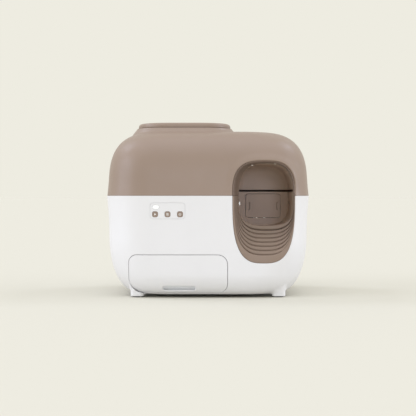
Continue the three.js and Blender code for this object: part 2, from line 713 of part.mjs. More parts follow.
const gearbox = box(45, 74, pinionY - 30, pinionY + 30, 139, pinionZ + 30)
  .subtract(rodX(4.5, 40, 55, pinionY, pinionZ, 12));
place('gearbox', gearbox, CHARCOAL);
place('drive_motor', rodX(17, 74.5, 128, pinionY, pinionZ, 24).add(rodX(6, 127, 134, pinionY, pinionZ, 12)), STEEL);
place('position_sensor', box(8, 22, DRUM_Y + 150, DRUM_Y + 166, 137.5, 176), CHARCOAL);
place('main_board', box(95, 245, -110, 55, 60, 61.8).add(box(110, 140, -90, -60, 61, 78)), BOARD);
const jack = rodY(6.3, INLET.y - 14, INLET.y, INLET.x, INLET.z, 20)
  .subtract(rodY(4, INLET.y - 11, 260, INLET.x, INLET.z, 20));
place('power_inlet', jack, CHARCOAL);

const FAN = { x: 179.5, z: 262, y0: 118, y1: 146 };
const fanFrame = box(FAN.x - 46, FAN.x + 46, FAN.y0, FAN.y1, FAN.z - 46, FAN.z + 46)
  .subtract(rodY(42, FAN.y0 - 5, FAN.y1 + 5, FAN.x, FAN.z, 24));
const fanBars = [
  box(FAN.x - 45, FAN.x + 45, FAN.y1 - 3, FAN.y1, FAN.z - 3, FAN.z + 3),
  box(FAN.x - 3, FAN.x + 3, FAN.y1 - 3, FAN.y1, FAN.z - 45, FAN.z + 45),
  rodY(14, FAN.y1 - 3, FAN.y1, FAN.x, FAN.z, 16),
];
place('fan_housing', united([fanFrame, ...fanBars]), CHARCOAL);
const rotorParts = [rodY(13, FAN.y0 + 4, FAN.y1 - 4, FAN.x, FAN.z, 16)];
for (let i = 0; i < 7; i += 1) {
  const blade = new THREE.BoxGeometry(28, 2, 16);
  blade.rotateX(0.9);
  blade.translate(26, 0, 0);
  blade.rotateY(i * 2 * Math.PI / 7);
  blade.translate(FAN.x, (FAN.y0 + FAN.y1) / 2, FAN.z);
  rotorParts.push(solid(blade));
}
place('fan_rotor', united(rotorParts), GREY);

// Deodoriser cartridge: a front plate with two grips and a box behind it
const cartridgeFront = prismY(insetRect(CARTRIDGE, 0), 74, 77.6, 3);
const grips = [CARTRIDGE.x0 + 8, CARTRIDGE.x1 - 14].map((x) => prismY(roundedRect(x, 259, x + 6, 285, 2.5), 70, 75.5, 2));
const cartridgeBox = box(CARTRIDGE.x0 + 5, CARTRIDGE.x1 - 5, 77, 108, CARTRIDGE.z0 + 5, CARTRIDGE.z1 - 5);
place('deodoriser_cartridge', without(cartridgeFront.add(cartridgeBox), grips), DARK_TAUPE);

// ---------------------------------------------------------------- hood and lid

// Rounded square plan lofted through [z, half x, half y] rows
function squareLoft(rows, corner) {
  const steps = 6;
  const around = 4 * (steps + 1);
  const last = rows.length + 1;
  const surface = (u, v, target) => {
    const row = Math.round(v * last);
    const [z, halfX, halfY] = rows[Math.min(Math.max(row - 1, 0), rows.length - 1)];
    if (row === 0 || row === last) {
      target.set(LID_X, LID_Y, z);
      return;
    }
    const index = Math.round(u * around) % around;
    const quarter = Math.floor(index / (steps + 1));
    const angle = (quarter + (index % (steps + 1)) / steps) * 90 * DEGREE;
    const x = [1, -1, -1, 1][quarter] * (halfX - corner) + corner * power(Math.cos(angle), 0.87);
    const y = [1, 1, -1, -1][quarter] * (halfY - corner) + corner * power(Math.sin(angle), 0.87);
    target.set(LID_X + x, LID_Y + y, z);
  };
  return solid(new ParametricGeometry(surface, around, last));
}

const collar = squareLoft([[480, 170, 162], [496, 160, 152], [504, 157, 149], [510, 152, 144], [COLLAR_TOP, 149, 141]], 105);
const collarHollow = squareLoft([[492, 158, 150], [504, 154, 146], [510, 149, 141], [512, 147, 139]], 102);
const fillHole = squareLoft([[400, 118, 100], [540, 118, 100]], 60);
const earXs = [[-124, -116], [-32, -24]];
const ears = earXs.map(([x0, x1]) => rodX(4, x0, x1, LID_AXIS_Y, LID_AXIS_Z, 16)
  .add(box(x0, x1, LID_AXIS_Y - 4, LID_AXIS_Y + 4, 508, LID_AXIS_Z)));
const hoodOuter = bodyForm(1).intersect(above);
const hoodWall = united([hoodOuter.subtract(bodyForm(WALL + 1)), collar.subtract(bodyForm(WALL + 1)), ...ears]);
const hoodCuts = [doorCut, collarHollow, fillHole, rodX(1.8, -140, -10, LID_AXIS_Y, LID_AXIS_Z, 12)];
place('hood_shell', without(hoodWall, hoodCuts), TAUPE);
place('lid_hinge_pin', rodX(1.5, -125, -23, LID_AXIS_Y, LID_AXIS_Z, 12), STEEL);

const lidSlab = squareLoft([
  [COLLAR_TOP + 0.4, 145, 137], [522, 145, 137], [526, 144, 136], [529, 141.5, 133.5], [LID_TOP, 137.5, 129.5],
], 105);
const lidHollow = squareLoft([[500, 141, 133], [527, 141, 133]], 102);
const lidArm = box(-115.5, -32.5, LID_Y + 130, LID_AXIS_Y, 516.2, 523);
const lidBarrel = rodX(4, -115.5, -32.5, LID_AXIS_Y, LID_AXIS_Z, 16);
const lid = united([lidSlab.subtract(lidHollow), lidArm, lidBarrel])
  .subtract(rodX(1.8, -140, -10, LID_AXIS_Y, LID_AXIS_Z, 12));
place('top_lid', lid, TAUPE);
const plug = squareLoft([[511, 112, 94], [526.7, 112, 94]], 58)
  .subtract(squareLoft([[500, 108, 90], [524, 108, 90]], 55));
place('lid_seal', plug, RUBBER);

export default group;
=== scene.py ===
# Self-cleaning cat litter box with a lift-off hood: the surfaces, materials, light and camera.
# Lengths in the shape code are millimetres, and a mesh is scaled to metres when it is made.
import json
import math

import bpy
import numpy as np
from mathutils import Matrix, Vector
from mathutils.geometry import delaunay_2d_cdt
from mathutils.kdtree import KDTree


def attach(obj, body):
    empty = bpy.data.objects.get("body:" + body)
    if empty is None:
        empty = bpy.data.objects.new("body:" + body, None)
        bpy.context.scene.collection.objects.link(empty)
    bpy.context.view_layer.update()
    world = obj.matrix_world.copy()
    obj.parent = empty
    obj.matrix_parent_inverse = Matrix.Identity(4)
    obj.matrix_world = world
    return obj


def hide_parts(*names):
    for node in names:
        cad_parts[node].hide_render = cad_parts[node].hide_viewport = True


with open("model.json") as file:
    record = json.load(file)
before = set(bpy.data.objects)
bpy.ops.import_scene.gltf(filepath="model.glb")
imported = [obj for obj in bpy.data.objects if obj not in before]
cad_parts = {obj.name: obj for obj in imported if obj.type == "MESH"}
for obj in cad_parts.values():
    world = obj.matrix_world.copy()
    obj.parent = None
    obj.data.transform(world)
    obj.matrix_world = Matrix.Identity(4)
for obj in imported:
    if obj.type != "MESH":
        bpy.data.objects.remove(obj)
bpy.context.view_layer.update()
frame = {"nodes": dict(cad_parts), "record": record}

MM = 0.001
HALF_W, HALF_D = 311.0, 255.0
BOTTOM, TOP, SEAM = 9.0, 503.0, 305.0
PLAN_R, PLAN_N = 145.0, 2.35
WALL = 3.0
SEAM_GAP = 0.3                  # each side of the seam
HOOD_INSET = 0.8                # the hood lies this far inside the form, except at the doorway's lip
HOOD_SPLIT = 452.0              # height where the hood's wall is joined to its roof
LID_SEAT = 514.9                # top of the collar
SERVICE_HALF_X, SERVICE_HALF_Y = 205.0, 128.0
INLET_X, INLET_Z, INLET_R = 205, 75, 7
MOUTH_R, MOUTH_Y, MOUTH_Z = 90.0, -15.0, 322
LINING_FRONT, LINING_BACK = 77.0, 80.0
DOOR = dict(x=166.6, z=300.0, half=94.4, up=109.0, down=196.0)
INNER = dict(x=177.4, z=285.0, half=84.6, up=118.0, down=77.0)
DRAWER = dict(x0=-238.0, x1=59.0, z0=14.0, z1=130.0, radii=(45, 28, 30, 25))
PANEL = dict(x0=-172.0, x1=-68.0, z0=236.0, z1=284.0, radii=(9, 9, 9, 9))
BUTTON_XS, BUTTON_Z, BUTTON = (-157.0, -120.0, -83.0), 250.0, 17.0
LIGHT = dict(x=-155.0, z=271.5, half=10.0, radius=6.0)
PULL = dict(x=-86.0, z=29.0, half=49.0, radius=6.8)
LID_X, LID_Y = -74.0, 5.0


# ------------------------------------------------------------ outer form of the body

def roll(distance, height, width, power):
    f = np.clip(distance / height, 0.0, 1.0)
    return width * (1.0 - (1.0 - f ** power) ** (1.0 / power))


def insets(z):
    a = np.minimum(np.abs(z - SEAM) / 130.0, 1.0)
    lean = 7.0 * a * (2.0 - a)
    top = roll(z - 361.0, 142.0, 134.0, 2.45)
    side = roll(178.0 - z, 169.0, 83.5, 2.0)
    front = roll(70.0 - z, 61.0, 38.0, 2.0)
    return lean + top + side, lean * np.where(z > SEAM, 1.0, 0.5) + top + front


CORNER_A = np.linspace(0.0, math.pi / 2, 129)
_cx = PLAN_R * np.cos(CORNER_A) ** (2 / PLAN_N)
_cy = PLAN_R * np.sin(CORNER_A) ** (2 / PLAN_N)
CORNER_S = np.concatenate([[0.0], np.cumsum(np.hypot(np.diff(_cx), np.diff(_cy)))])
CORNER = CORNER_S[-1]
_sx, _sy = HALF_W - PLAN_R, HALF_D - PLAN_R
BREAKS = np.cumsum([0.0, _sx, CORNER, 2 * _sy, CORNER, 2 * _sx, CORNER, 2 * _sy, CORNER, _sx])
AROUND = BREAKS[-1]


def body_point(along, z):
    """Outer form: distance round the plan from the rear middle, by way of the left side, and height."""
    along = np.mod(np.asarray(along, float), AROUND)
    z = np.asarray(z, float)
    dx, dy = insets(z)
    r = PLAN_R - 0.175 * (dx + dy)
    hx, hy = HALF_W - dx - r, HALF_D - dy - r
    seg = np.clip(np.searchsorted(BREAKS, along, side="right") - 1, 0, 8)
    f = (along - BREAKS[seg]) / (BREAKS[seg + 1] - BREAKS[seg])
    a = np.interp(f * CORNER, CORNER_S, CORNER_A)
    c, s = r * np.cos(a) ** (2 / PLAN_N), r * np.abs(np.sin(a)) ** (2 / PLAN_N)
    x = np.choose(seg, [-hx * f, -hx - s, -hx - r, -hx - c, hx * (2 * f - 1),
                        hx + s, hx + r, hx + c, hx * (1 - f)])
    y = np.choose(seg, [hy + r, hy + c, hy * (1 - 2 * f), -hy - s, -hy - r,
                        -hy - c, hy * (2 * f - 1), hy + s, hy + r])
    return np.stack([x, y, z + 0 * x], -1)


# Height as a function of the length of the front wall's upright profile
_low = 70.0 - 61.0 * np.sin(np.linspace(math.pi / 2, 0, 400))
_high = 361.0 + 142.0 * np.sin(np.linspace(0, math.pi / 2, 400)) ** (2 / 2.45)
Z_TABLE = np.concatenate([_low, np.linspace(70.5, 360.5, 150), _high])
S_TABLE = np.concatenate([[0.0], np.cumsum(np.hypot(np.diff(Z_TABLE), np.diff(insets(Z_TABLE)[1])))])


def to_z(s):
    return np.interp(s, S_TABLE, Z_TABLE)


def to_s(z):
    return np.interp(z, Z_TABLE, S_TABLE)


def unit(v):
    return v / np.maximum(np.linalg.norm(v, axis=-1, keepdims=True), 1e-12)


def find_along(x, z, low, high):
    """Where the outer form has this x between two distances round the plan."""
    x, z = np.asarray(x, float), np.asarray(z, float)
    a, b = np.full(x.shape, low), np.full(x.shape, high)
    rising = body_point(high, 200.0)[..., 0] > body_point(low, 200.0)[..., 0]
    for _ in range(42):
        m = (a + b) / 2
        less = (body_point(m, z)[..., 0] < x) == rising
        a, b = np.where(less, m, a), np.where(less, b, m)
    return (a + b) / 2


def front_uv(q):
    q = np.asarray(q, float)
    return np.stack([find_along(q[:, 0], q[:, 1], BREAKS[3], BREAKS[6]), to_s(q[:, 1])], -1)


def rear_uv(q):
    q = np.asarray(q, float)
    return np.stack([find_along(q[:, 0], q[:, 1], BREAKS[7], AROUND), to_s(q[:, 1])], -1)


def oval(o, inset, theta, power=3.0):
    c, s = np.cos(theta), np.sin(theta)
    px = np.sign(c) * np.abs(c) ** (2 / power)
    pz = np.sign(s) * np.abs(s) ** (2 / power)
    reach = np.where(s > 0, o["up"] - inset, o["down"] - inset)
    return np.stack([o["x"] + (o["half"] - inset) * px, o["z"] + reach * pz], -1)


def door_distance(x, z):
    """Roughly how far a point of the front wall is outside the doorway's edge."""
    dz = z - DOOR["z"]
    reach = np.where(dz > 0, DOOR["up"], DOOR["down"])
    level = ((np.abs(x - DOOR["x"]) / DOOR["half"]) ** 3 + (np.abs(dz) / reach) ** 3) ** (1 / 3)
    away = np.hypot(x - DOOR["x"], dz)
    return away * (1 - 1 / np.maximum(level, 1e-6))


class Surface:
    """A surface over two coordinates, with its normal from differences and points at a depth below it."""

    def __init__(self, function, low=None, high=None):
        self.function, self.low, self.high = function, low, high

    def raw(self, uv):
        return self.function(uv[..., 0], uv[..., 1])

    def normal(self, uv):
        uv = np.asarray(uv, float)
        e = 0.04
        du, dv = np.array([e, 0.0]), np.array([0.0, e])
        up, down = uv + dv, uv - dv
        if self.low is not None:
            down = np.stack([down[..., 0], np.maximum(down[..., 1], self.low)], -1)
            up = np.stack([up[..., 0], np.minimum(up[..., 1], self.high)], -1)
        a = self.raw(uv + du) - self.raw(uv - du)
        b = self.raw(up) - self.raw(down)
        return unit(np.cross(a, b))

    def at(self, uv, depth=0.0):
        uv = np.asarray(uv, float)
        p = self.raw(uv)
        if np.ndim(depth) or depth:
            p = p - self.normal(uv) * np.asarray(depth)[..., None]
        return p

    def toward(self, uv, direction):
        uv = np.asarray(uv, float)
        return unit(self.raw(uv + 0.05 * direction) - self.raw(uv - 0.05 * direction))


base_surface = Surface(lambda u, s: body_point(u, to_z(s)), 0.0, S_TABLE[-1])


def hood_function(u, s):
    z = to_z(s)
    p = body_point(u, z)
    d = door_distance(p[..., 0], z)
    front = p[..., 1] < -60
    side = np.clip((p[..., 0] - DOOR["x"] + 40) / 150.0, 0.0, 1.0)
    rise = np.clip((z - SEAM) / 70.0, 0.0, 1.0)
    amount = (1.0 + 4.6 * rise * rise * (3 - 2 * rise)) * (0.5 + 0.5 * side)
    fall = np.clip(1 - np.maximum(d, 0) / 26.0, 0.0, 1.0)
    lift = np.where(front & (d < 26) & (d > -20), amount * fall * fall * (3 - 2 * fall), 0.0)
    normal = base_surface.normal(np.stack([u, s], -1))
    return p + normal * (lift - HOOD_INSET)[..., None]


hood_surface = Surface(hood_function, to_s(SEAM), S_TABLE[-1])


# ------------------------------------------------------------ building meshes

class Skin:
    """Collects faces with a normal at each corner, then welds the points that coincide."""

    def __init__(self):
        self.points, self.normals, self.faces = [], [], []
        self.size = 0

    def add(self, points, normals):
        points = np.asarray(points, float)
        normals = np.broadcast_to(np.asarray(normals, float), points.shape).reshape(-1, 3)
        points = points.reshape(-1, 3)
        start = self.size
        self.points.append(points)
        self.normals.append(normals)
        self.size += len(points)
        return start

    def grid(self, points, normals, closed=False):
        rows, cols = points.shape[:2]
        start = self.add(points, normals)
        last = cols if closed else cols - 1
        for i in range(rows - 1):
            for j in range(last):
                a, b = start + i * cols + j, start + i * cols + (j + 1) % cols
                self.faces.append([a, b, b + cols, a + cols])

    def triangles(self, points, normals, triangles):
        start = self.add(points, normals)
        self.faces += [[start + int(k) for k in t] for t in triangles]

    def cap(self, ring, normal):
        """One flat face over a ring of points."""
        start = self.add(ring, normal)
        self.faces.append([start + i for i in range(len(ring))])

    def make(self, name):
        points, normals = np.concatenate(self.points), unit(np.concatenate(self.normals))
        tree = KDTree(len(points))
        for i, p in enumerate(points):
            tree.insert(p, i)
        tree.balance()
        weld = np.full(len(points), -1)
        for i, p in enumerate(points):
            if weld[i] < 0:
                for _, j, _ in tree.find_range(p, 0.012):
                    if weld[j] < 0:
                        weld[j] = i
        kept, place = np.unique(weld, return_inverse=True)
        faces, corner = [], []
        for face in self.faces:
            ids = [int(place[k]) for k in face]
            pairs = [(i, k) for n, (i, k) in enumerate(zip(ids, face)) if i != ids[n - 1]]
            if len({i for i, _ in pairs}) < len(pairs) or len(pairs) < 3:
                continue
            ring = points[[k for _, k in pairs]]
            out = np.cross(ring - ring[0], np.roll(ring, -1, 0) - ring[0]).sum(0)
            if np.dot(out, normals[[k for _, k in pairs]].sum(0)) < 0:
                pairs = pairs[::-1]
            faces.append([i for i, _ in pairs])
            corner.extend(normals[k] for _, k in pairs)
        mesh = bpy.data.meshes.new(name)
        mesh.from_pydata((points[kept] * MM).tolist(), [], faces)
        mesh.polygons.foreach_set("use_smooth", [True] * len(mesh.polygons))
        mesh.normals_split_custom_set([tuple(n) for n in corner])
        mesh.update()
        return link(name, mesh)


def link(name, mesh):
    piece = bpy.data.objects.new(name, mesh)
    bpy.context.scene.collection.objects.link(piece)
    return piece


def inside(points, polygon):
    x, y = points[:, 0][:, None], points[:, 1][:, None]
    ax, ay = polygon[:, 0], polygon[:, 1]
    bx, by = np.roll(ax, -1), np.roll(ay, -1)
    crosses = (ay > y) != (by > y)
    at = ax + (y - ay) * (bx - ax) / np.where(by == ay, 1e-9, by - ay)
    return (np.sum(crosses & (x < at), axis=1) % 2) == 1


def fill(outer, holes, extra, gap=3.0):
    """Triangulates a flat region with holes. Returns its points and its triangles."""
    loops = [outer] + list(holes)
    edge = np.concatenate(loops)
    extra = np.asarray(extra, float).reshape(-1, 2)
    keep = inside(extra, outer)
    for hole in holes:
        keep &= ~inside(extra, hole)
    extra = extra[keep]
    tree = KDTree(len(edge))
    for i, p in enumerate(edge):
        tree.insert((p[0], p[1], 0.0), i)
    tree.balance()
    extra = np.array([p for p in extra if tree.find((p[0], p[1], 0.0))[2] > gap]).reshape(-1, 2)
    points = np.concatenate([edge, extra])
    links, start = [], 0
    for loop in loops:
        n = len(loop)
        links += [(start + i, start + (i + 1) % n) for i in range(n)]
        start += n
    made = delaunay_2d_cdt([Vector(p) for p in points], links, [], 0, 1e-7)
    origin = [ids[0] for ids in made[3]]
    triangles = np.array([[origin[k] for k in t] for t in made[2]])
    middle = points[triangles].mean(axis=1)
    good = inside(middle, outer)
    for hole in holes:
        good &= ~inside(middle, hole)
    triangles = triangles[good]
    a, b, c = (points[triangles[:, k]] for k in range(3))
    area = (b[:, 0] - a[:, 0]) * (c[:, 1] - a[:, 1]) - (b[:, 1] - a[:, 1]) * (c[:, 0] - a[:, 0])
    triangles[area < 0] = triangles[area < 0][:, ::-1]
    return points, triangles[np.abs(area) > 1e-9]


def away_from(loop, closed=True):
    """Unit directions, in the flat, out of a loop that runs anticlockwise."""
    if closed:
        t = np.roll(loop, -1, 0) - np.roll(loop, 1, 0)
    else:
        t = np.gradient(loop, axis=0)
    t = unit(t)
    return np.stack([t[:, 1], -t[:, 0]], -1)


ROUND = np.radians([0, 22.5, 45, 67.5, 90])


def rim(skin, surface, loop, away, radius, wall, closed=True, inner=None):
    """Rolls a surface over into the wall of an opening. away leads from the opening into the material."""
    radius = np.broadcast_to(np.asarray(radius, float), (len(loop),))
    rows, norms = [], []
    for phi in ROUND:
        uv = loop + away * (radius * (1 - math.sin(phi)))[:, None]
        n = surface.normal(uv)
        t = surface.toward(uv, unit(away))
        rows.append(surface.raw(uv) - n * (radius * (1 - math.cos(phi)))[:, None])
        norms.append(math.cos(phi) * n - math.sin(phi) * t)
    rows.append((inner or surface).at(loop, np.full(len(loop), float(wall))))
    norms.append(norms[-1])
    skin.grid(np.array(rows), np.array(norms), closed)


def panel_skin(skin, surface, outer, holes, extra, depth, gap=3.0):
    """One side of a wall: the outer one at depth 0, and otherwise the inner one at that depth."""
    uv, triangles = fill(outer, holes, extra, gap)
    n = surface.normal(uv)
    skin.triangles(surface.raw(uv) - n * depth, -n if depth else n, triangles)


def resample(path, spacing, closed=True):
    path = np.asarray(path, float)
    if closed:
        path = np.concatenate([path, path[:1]])
    s = np.concatenate([[0.0], np.cumsum(np.linalg.norm(np.diff(path, axis=0), axis=1))])
    n = max(int(round(s[-1] / spacing)), 8)
    at = np.linspace(0, s[-1], n + 1)
    new = np.stack([np.interp(at, s, path[:, k]) for k in range(path.shape[1])], -1)
    return new[:-1] if closed else new


def rounded(x0, z0, x1, z1, radii, steps=12):
    """Anticlockwise rounded rectangle; radii at lower left, lower right, upper right, upper left."""
    points = []
    centres = [(x0, z0, 1, 1, 180), (x1, z0, -1, 1, 270), (x1, z1, -1, -1, 0), (x0, z1, 1, -1, 90)]
    for (cx, cz, sx, sz, start), r in zip(centres, radii):
        for i in range(steps + 1):
            a = math.radians(start + 90 * i / steps)
            points.append((cx + sx * r + r * math.cos(a), cz + sz * r + r * math.sin(a)))
    return np.array(points)


def outline(rect, inset, spacing):
    radii = [max(r - inset, 0.5) for r in rect["radii"]]
    low, high = (rect["x0"] + inset, rect["z0"] + inset), (rect["x1"] - inset, rect["z1"] - inset)
    return resample(rounded(*low, *high, radii), spacing)


def pill(shape, inset, spacing):
    r = shape["radius"] - inset
    half = shape["half"] - inset
    low, high = (shape["x"] - half, shape["z"] - r), (shape["x"] + half, shape["z"] + r)
    return resample(rounded(*low, *high, [r * 0.999] * 4), spacing)


def upright(flat):
    """Flat (x, z) directions as directions in space."""
    return np.column_stack([flat[:, 0], 0 * flat[:, 0], flat[:, 1]])


def at_y(path, y):
    """A flat (x, z) path as points at this y."""
    return np.column_stack([path[:, 0], np.full(len(path), y), path[:, 1]])


LS = (np.arange(0, 174) / 174.0) * AROUND


# ------------------------------------------------------------ materials

def make_material(name, base, rough, grain=0.0, grain_size=0.0006, mottle=0.03, rough_vary=0.06, coat=0.0,
                  metallic=0.0, subsurface=0.0, front=None):
    """Plastic or metal with clouded colour, uneven gloss and grain. front: a darker colour near the door,
    painted shade, that blends by depth into the lighter base colour, painted light.
    """
    mat = bpy.data.materials.new(name)
    mat.use_nodes = True
    nodes, links = mat.node_tree.nodes, mat.node_tree.links
    bsdf = nodes["Principled BSDF"]
    coord = nodes.new("ShaderNodeTexCoord")

    def noise(size, detail, rough_amount=0.5):
        n = nodes.new("ShaderNodeTexNoise")
        n.inputs["Scale"].default_value = 1.0 / size
        n.inputs["Detail"].default_value = detail
        n.inputs["Roughness"].default_value = rough_amount
        links.new(coord.outputs["Object"], n.inputs["Vector"])
        return n

    def ramp(low, high, source):
        r = nodes.new("ShaderNodeMapRange")
        r.inputs["From Min"].default_value = 0.3
        r.inputs["From Max"].default_value = 0.7
        r.inputs["To Min"].default_value = low
        r.inputs["To Max"].default_value = high
        links.new(source, r.inputs["Value"])
        return r.outputs["Result"]

    cloud = noise(0.09, 4)
    mix = nodes.new("ShaderNodeMix")
    mix.data_type = "RGBA"
    dark = [max(c * (1 - mottle), 0) for c in base]
    light = [min(c * (1 + mottle), 1) for c in base]
    mix.inputs[6].default_value = (*dark, 1)
    mix.inputs[7].default_value = (*light, 1)
    links.new(ramp(0, 1, cloud.outputs["Fac"]), mix.inputs[0])
    colour = mix.outputs[2]
    # Painted shade and light: the colour is darkest near the door and turns to the lighter base colour deeper
    # in, which paints in the light that reaches the back of the passage.
    if front:
        place = nodes.new("ShaderNodeSeparateXYZ")
        links.new(coord.outputs["Object"], place.inputs["Vector"])
        inward = nodes.new("ShaderNodeMapRange")
        inward.interpolation_type = "SMOOTHSTEP"
        inward.inputs["From Min"].default_value = -0.215
        inward.inputs["From Max"].default_value = -0.10
        links.new(place.outputs["Y"], inward.inputs["Value"])
        painted_depth_light = nodes.new("ShaderNodeMix")
        painted_depth_light.data_type = "RGBA"
        painted_depth_light.inputs[6].default_value = (*front, 1)
        links.new(inward.outputs["Result"], painted_depth_light.inputs[0])
        links.new(colour, painted_depth_light.inputs[7])
        colour = painted_depth_light.outputs[2]
    links.new(colour, bsdf.inputs["Base Color"])
    smudge = noise(0.035, 5, 0.6)
    gloss = ramp(max(rough - rough_vary, 0.02), min(rough + rough_vary, 1), smudge.outputs["Fac"])
    links.new(gloss, bsdf.inputs["Roughness"])
    bsdf.inputs["Metallic"].default_value = metallic
    if coat:
        bsdf.inputs["Coat Weight"].default_value = coat
        bsdf.inputs["Coat Roughness"].default_value = 0.18
    if subsurface:
        bsdf.inputs["Subsurface Weight"].default_value = subsurface
        bsdf.inputs["Subsurface Radius"].default_value = (0.004, 0.004, 0.004)
    if grain:
        fine = noise(grain_size, 3)
        bump = nodes.new("ShaderNodeBump")
        bump.inputs["Strength"].default_value = grain
        bump.inputs["Distance"].default_value = 0.00012
        links.new(fine.outputs["Fac"], bump.inputs["Height"])
        links.new(bump.outputs["Normal"], bsdf.inputs["Normal"])
    return mat


def linear(*rgb):
    """Screen colour, 0 to 255, as linear light."""
    return tuple(c / 12.92 if c <= 0.04045 else ((c + 0.055) / 1.055) ** 2.4 for c in (v / 255 for v in rgb))


MATS = {
    "white": make_material("white_abs", linear(223, 222, 223), 0.4, 0.12, 0.0009, 0.006, 0.05),
    "taupe": make_material("taupe_abs", linear(144, 125, 111), 0.42, 0.2, 0.0008, 0.012, 0.06),
    "step": make_material("step_taupe", linear(139, 120, 106), 0.5, 0.3, 0.0009, 0.02, 0.06),
    # The passage's base colour is painted lighter than the taupe plastic, as painted light on the back of the
    # passage and on the cartridge; its darker front colour is painted shade near the door.
    "dark": make_material("passage_taupe", linear(220, 200, 184), 0.6, 0.35, 0.0009, 0.02, 0.06,
                          front=linear(122, 104, 92)),
    "button": make_material("button_taupe", linear(142, 124, 110), 0.5, 0.25, 0.0006, 0.02, 0.05),
    "mark": make_material("printed_white", linear(240, 238, 235), 0.5, 0.1, 0.0006, 0.01, 0.03),
    "lens": make_material("light_lens", linear(252, 252, 252), 0.25, 0.05, 0.0008, 0.004, 0.03, 0.3,
                          subsurface=0.1),
    "grey": make_material("light_grey_pp", linear(198, 199, 200), 0.5, 0.3, 0.0009, 0.02, 0.07),
    "cup": make_material("pale_grey_pp", linear(226, 227, 229), 0.5, 0.2, 0.0009, 0.01, 0.05),
    "charcoal": make_material("charcoal_abs", linear(58, 55, 52), 0.55, 0.35, 0.0008, 0.05, 0.08),
    "rubber": make_material("black_rubber", linear(40, 40, 41), 0.78, 0.5, 0.0007, 0.08, 0.08),
    "steel": make_material("plated_steel", linear(190, 192, 195), 0.3, 0.15, 0.0012, 0.03, 0.08,
                           metallic=1.0),
    "board": make_material("solder_mask", linear(40, 96, 62), 0.4, 0.3, 0.0015, 0.1, 0.08, 0.3),
    "window": make_material("infrared_window", linear(226, 216, 206), 0.2, 0.05, 0.001, 0.03, 0.04, 0.4),
}


stood_for = set()


def finish_piece(piece, body, mat, *nodes, slot=None):
    stood_for.update(nodes)
    piece.data.materials.clear()
    piece.data.materials.append(MATS[mat])
    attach(piece, body)
    if nodes:
        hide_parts(*nodes)
    return piece


# ------------------------------------------------------------ lower housing

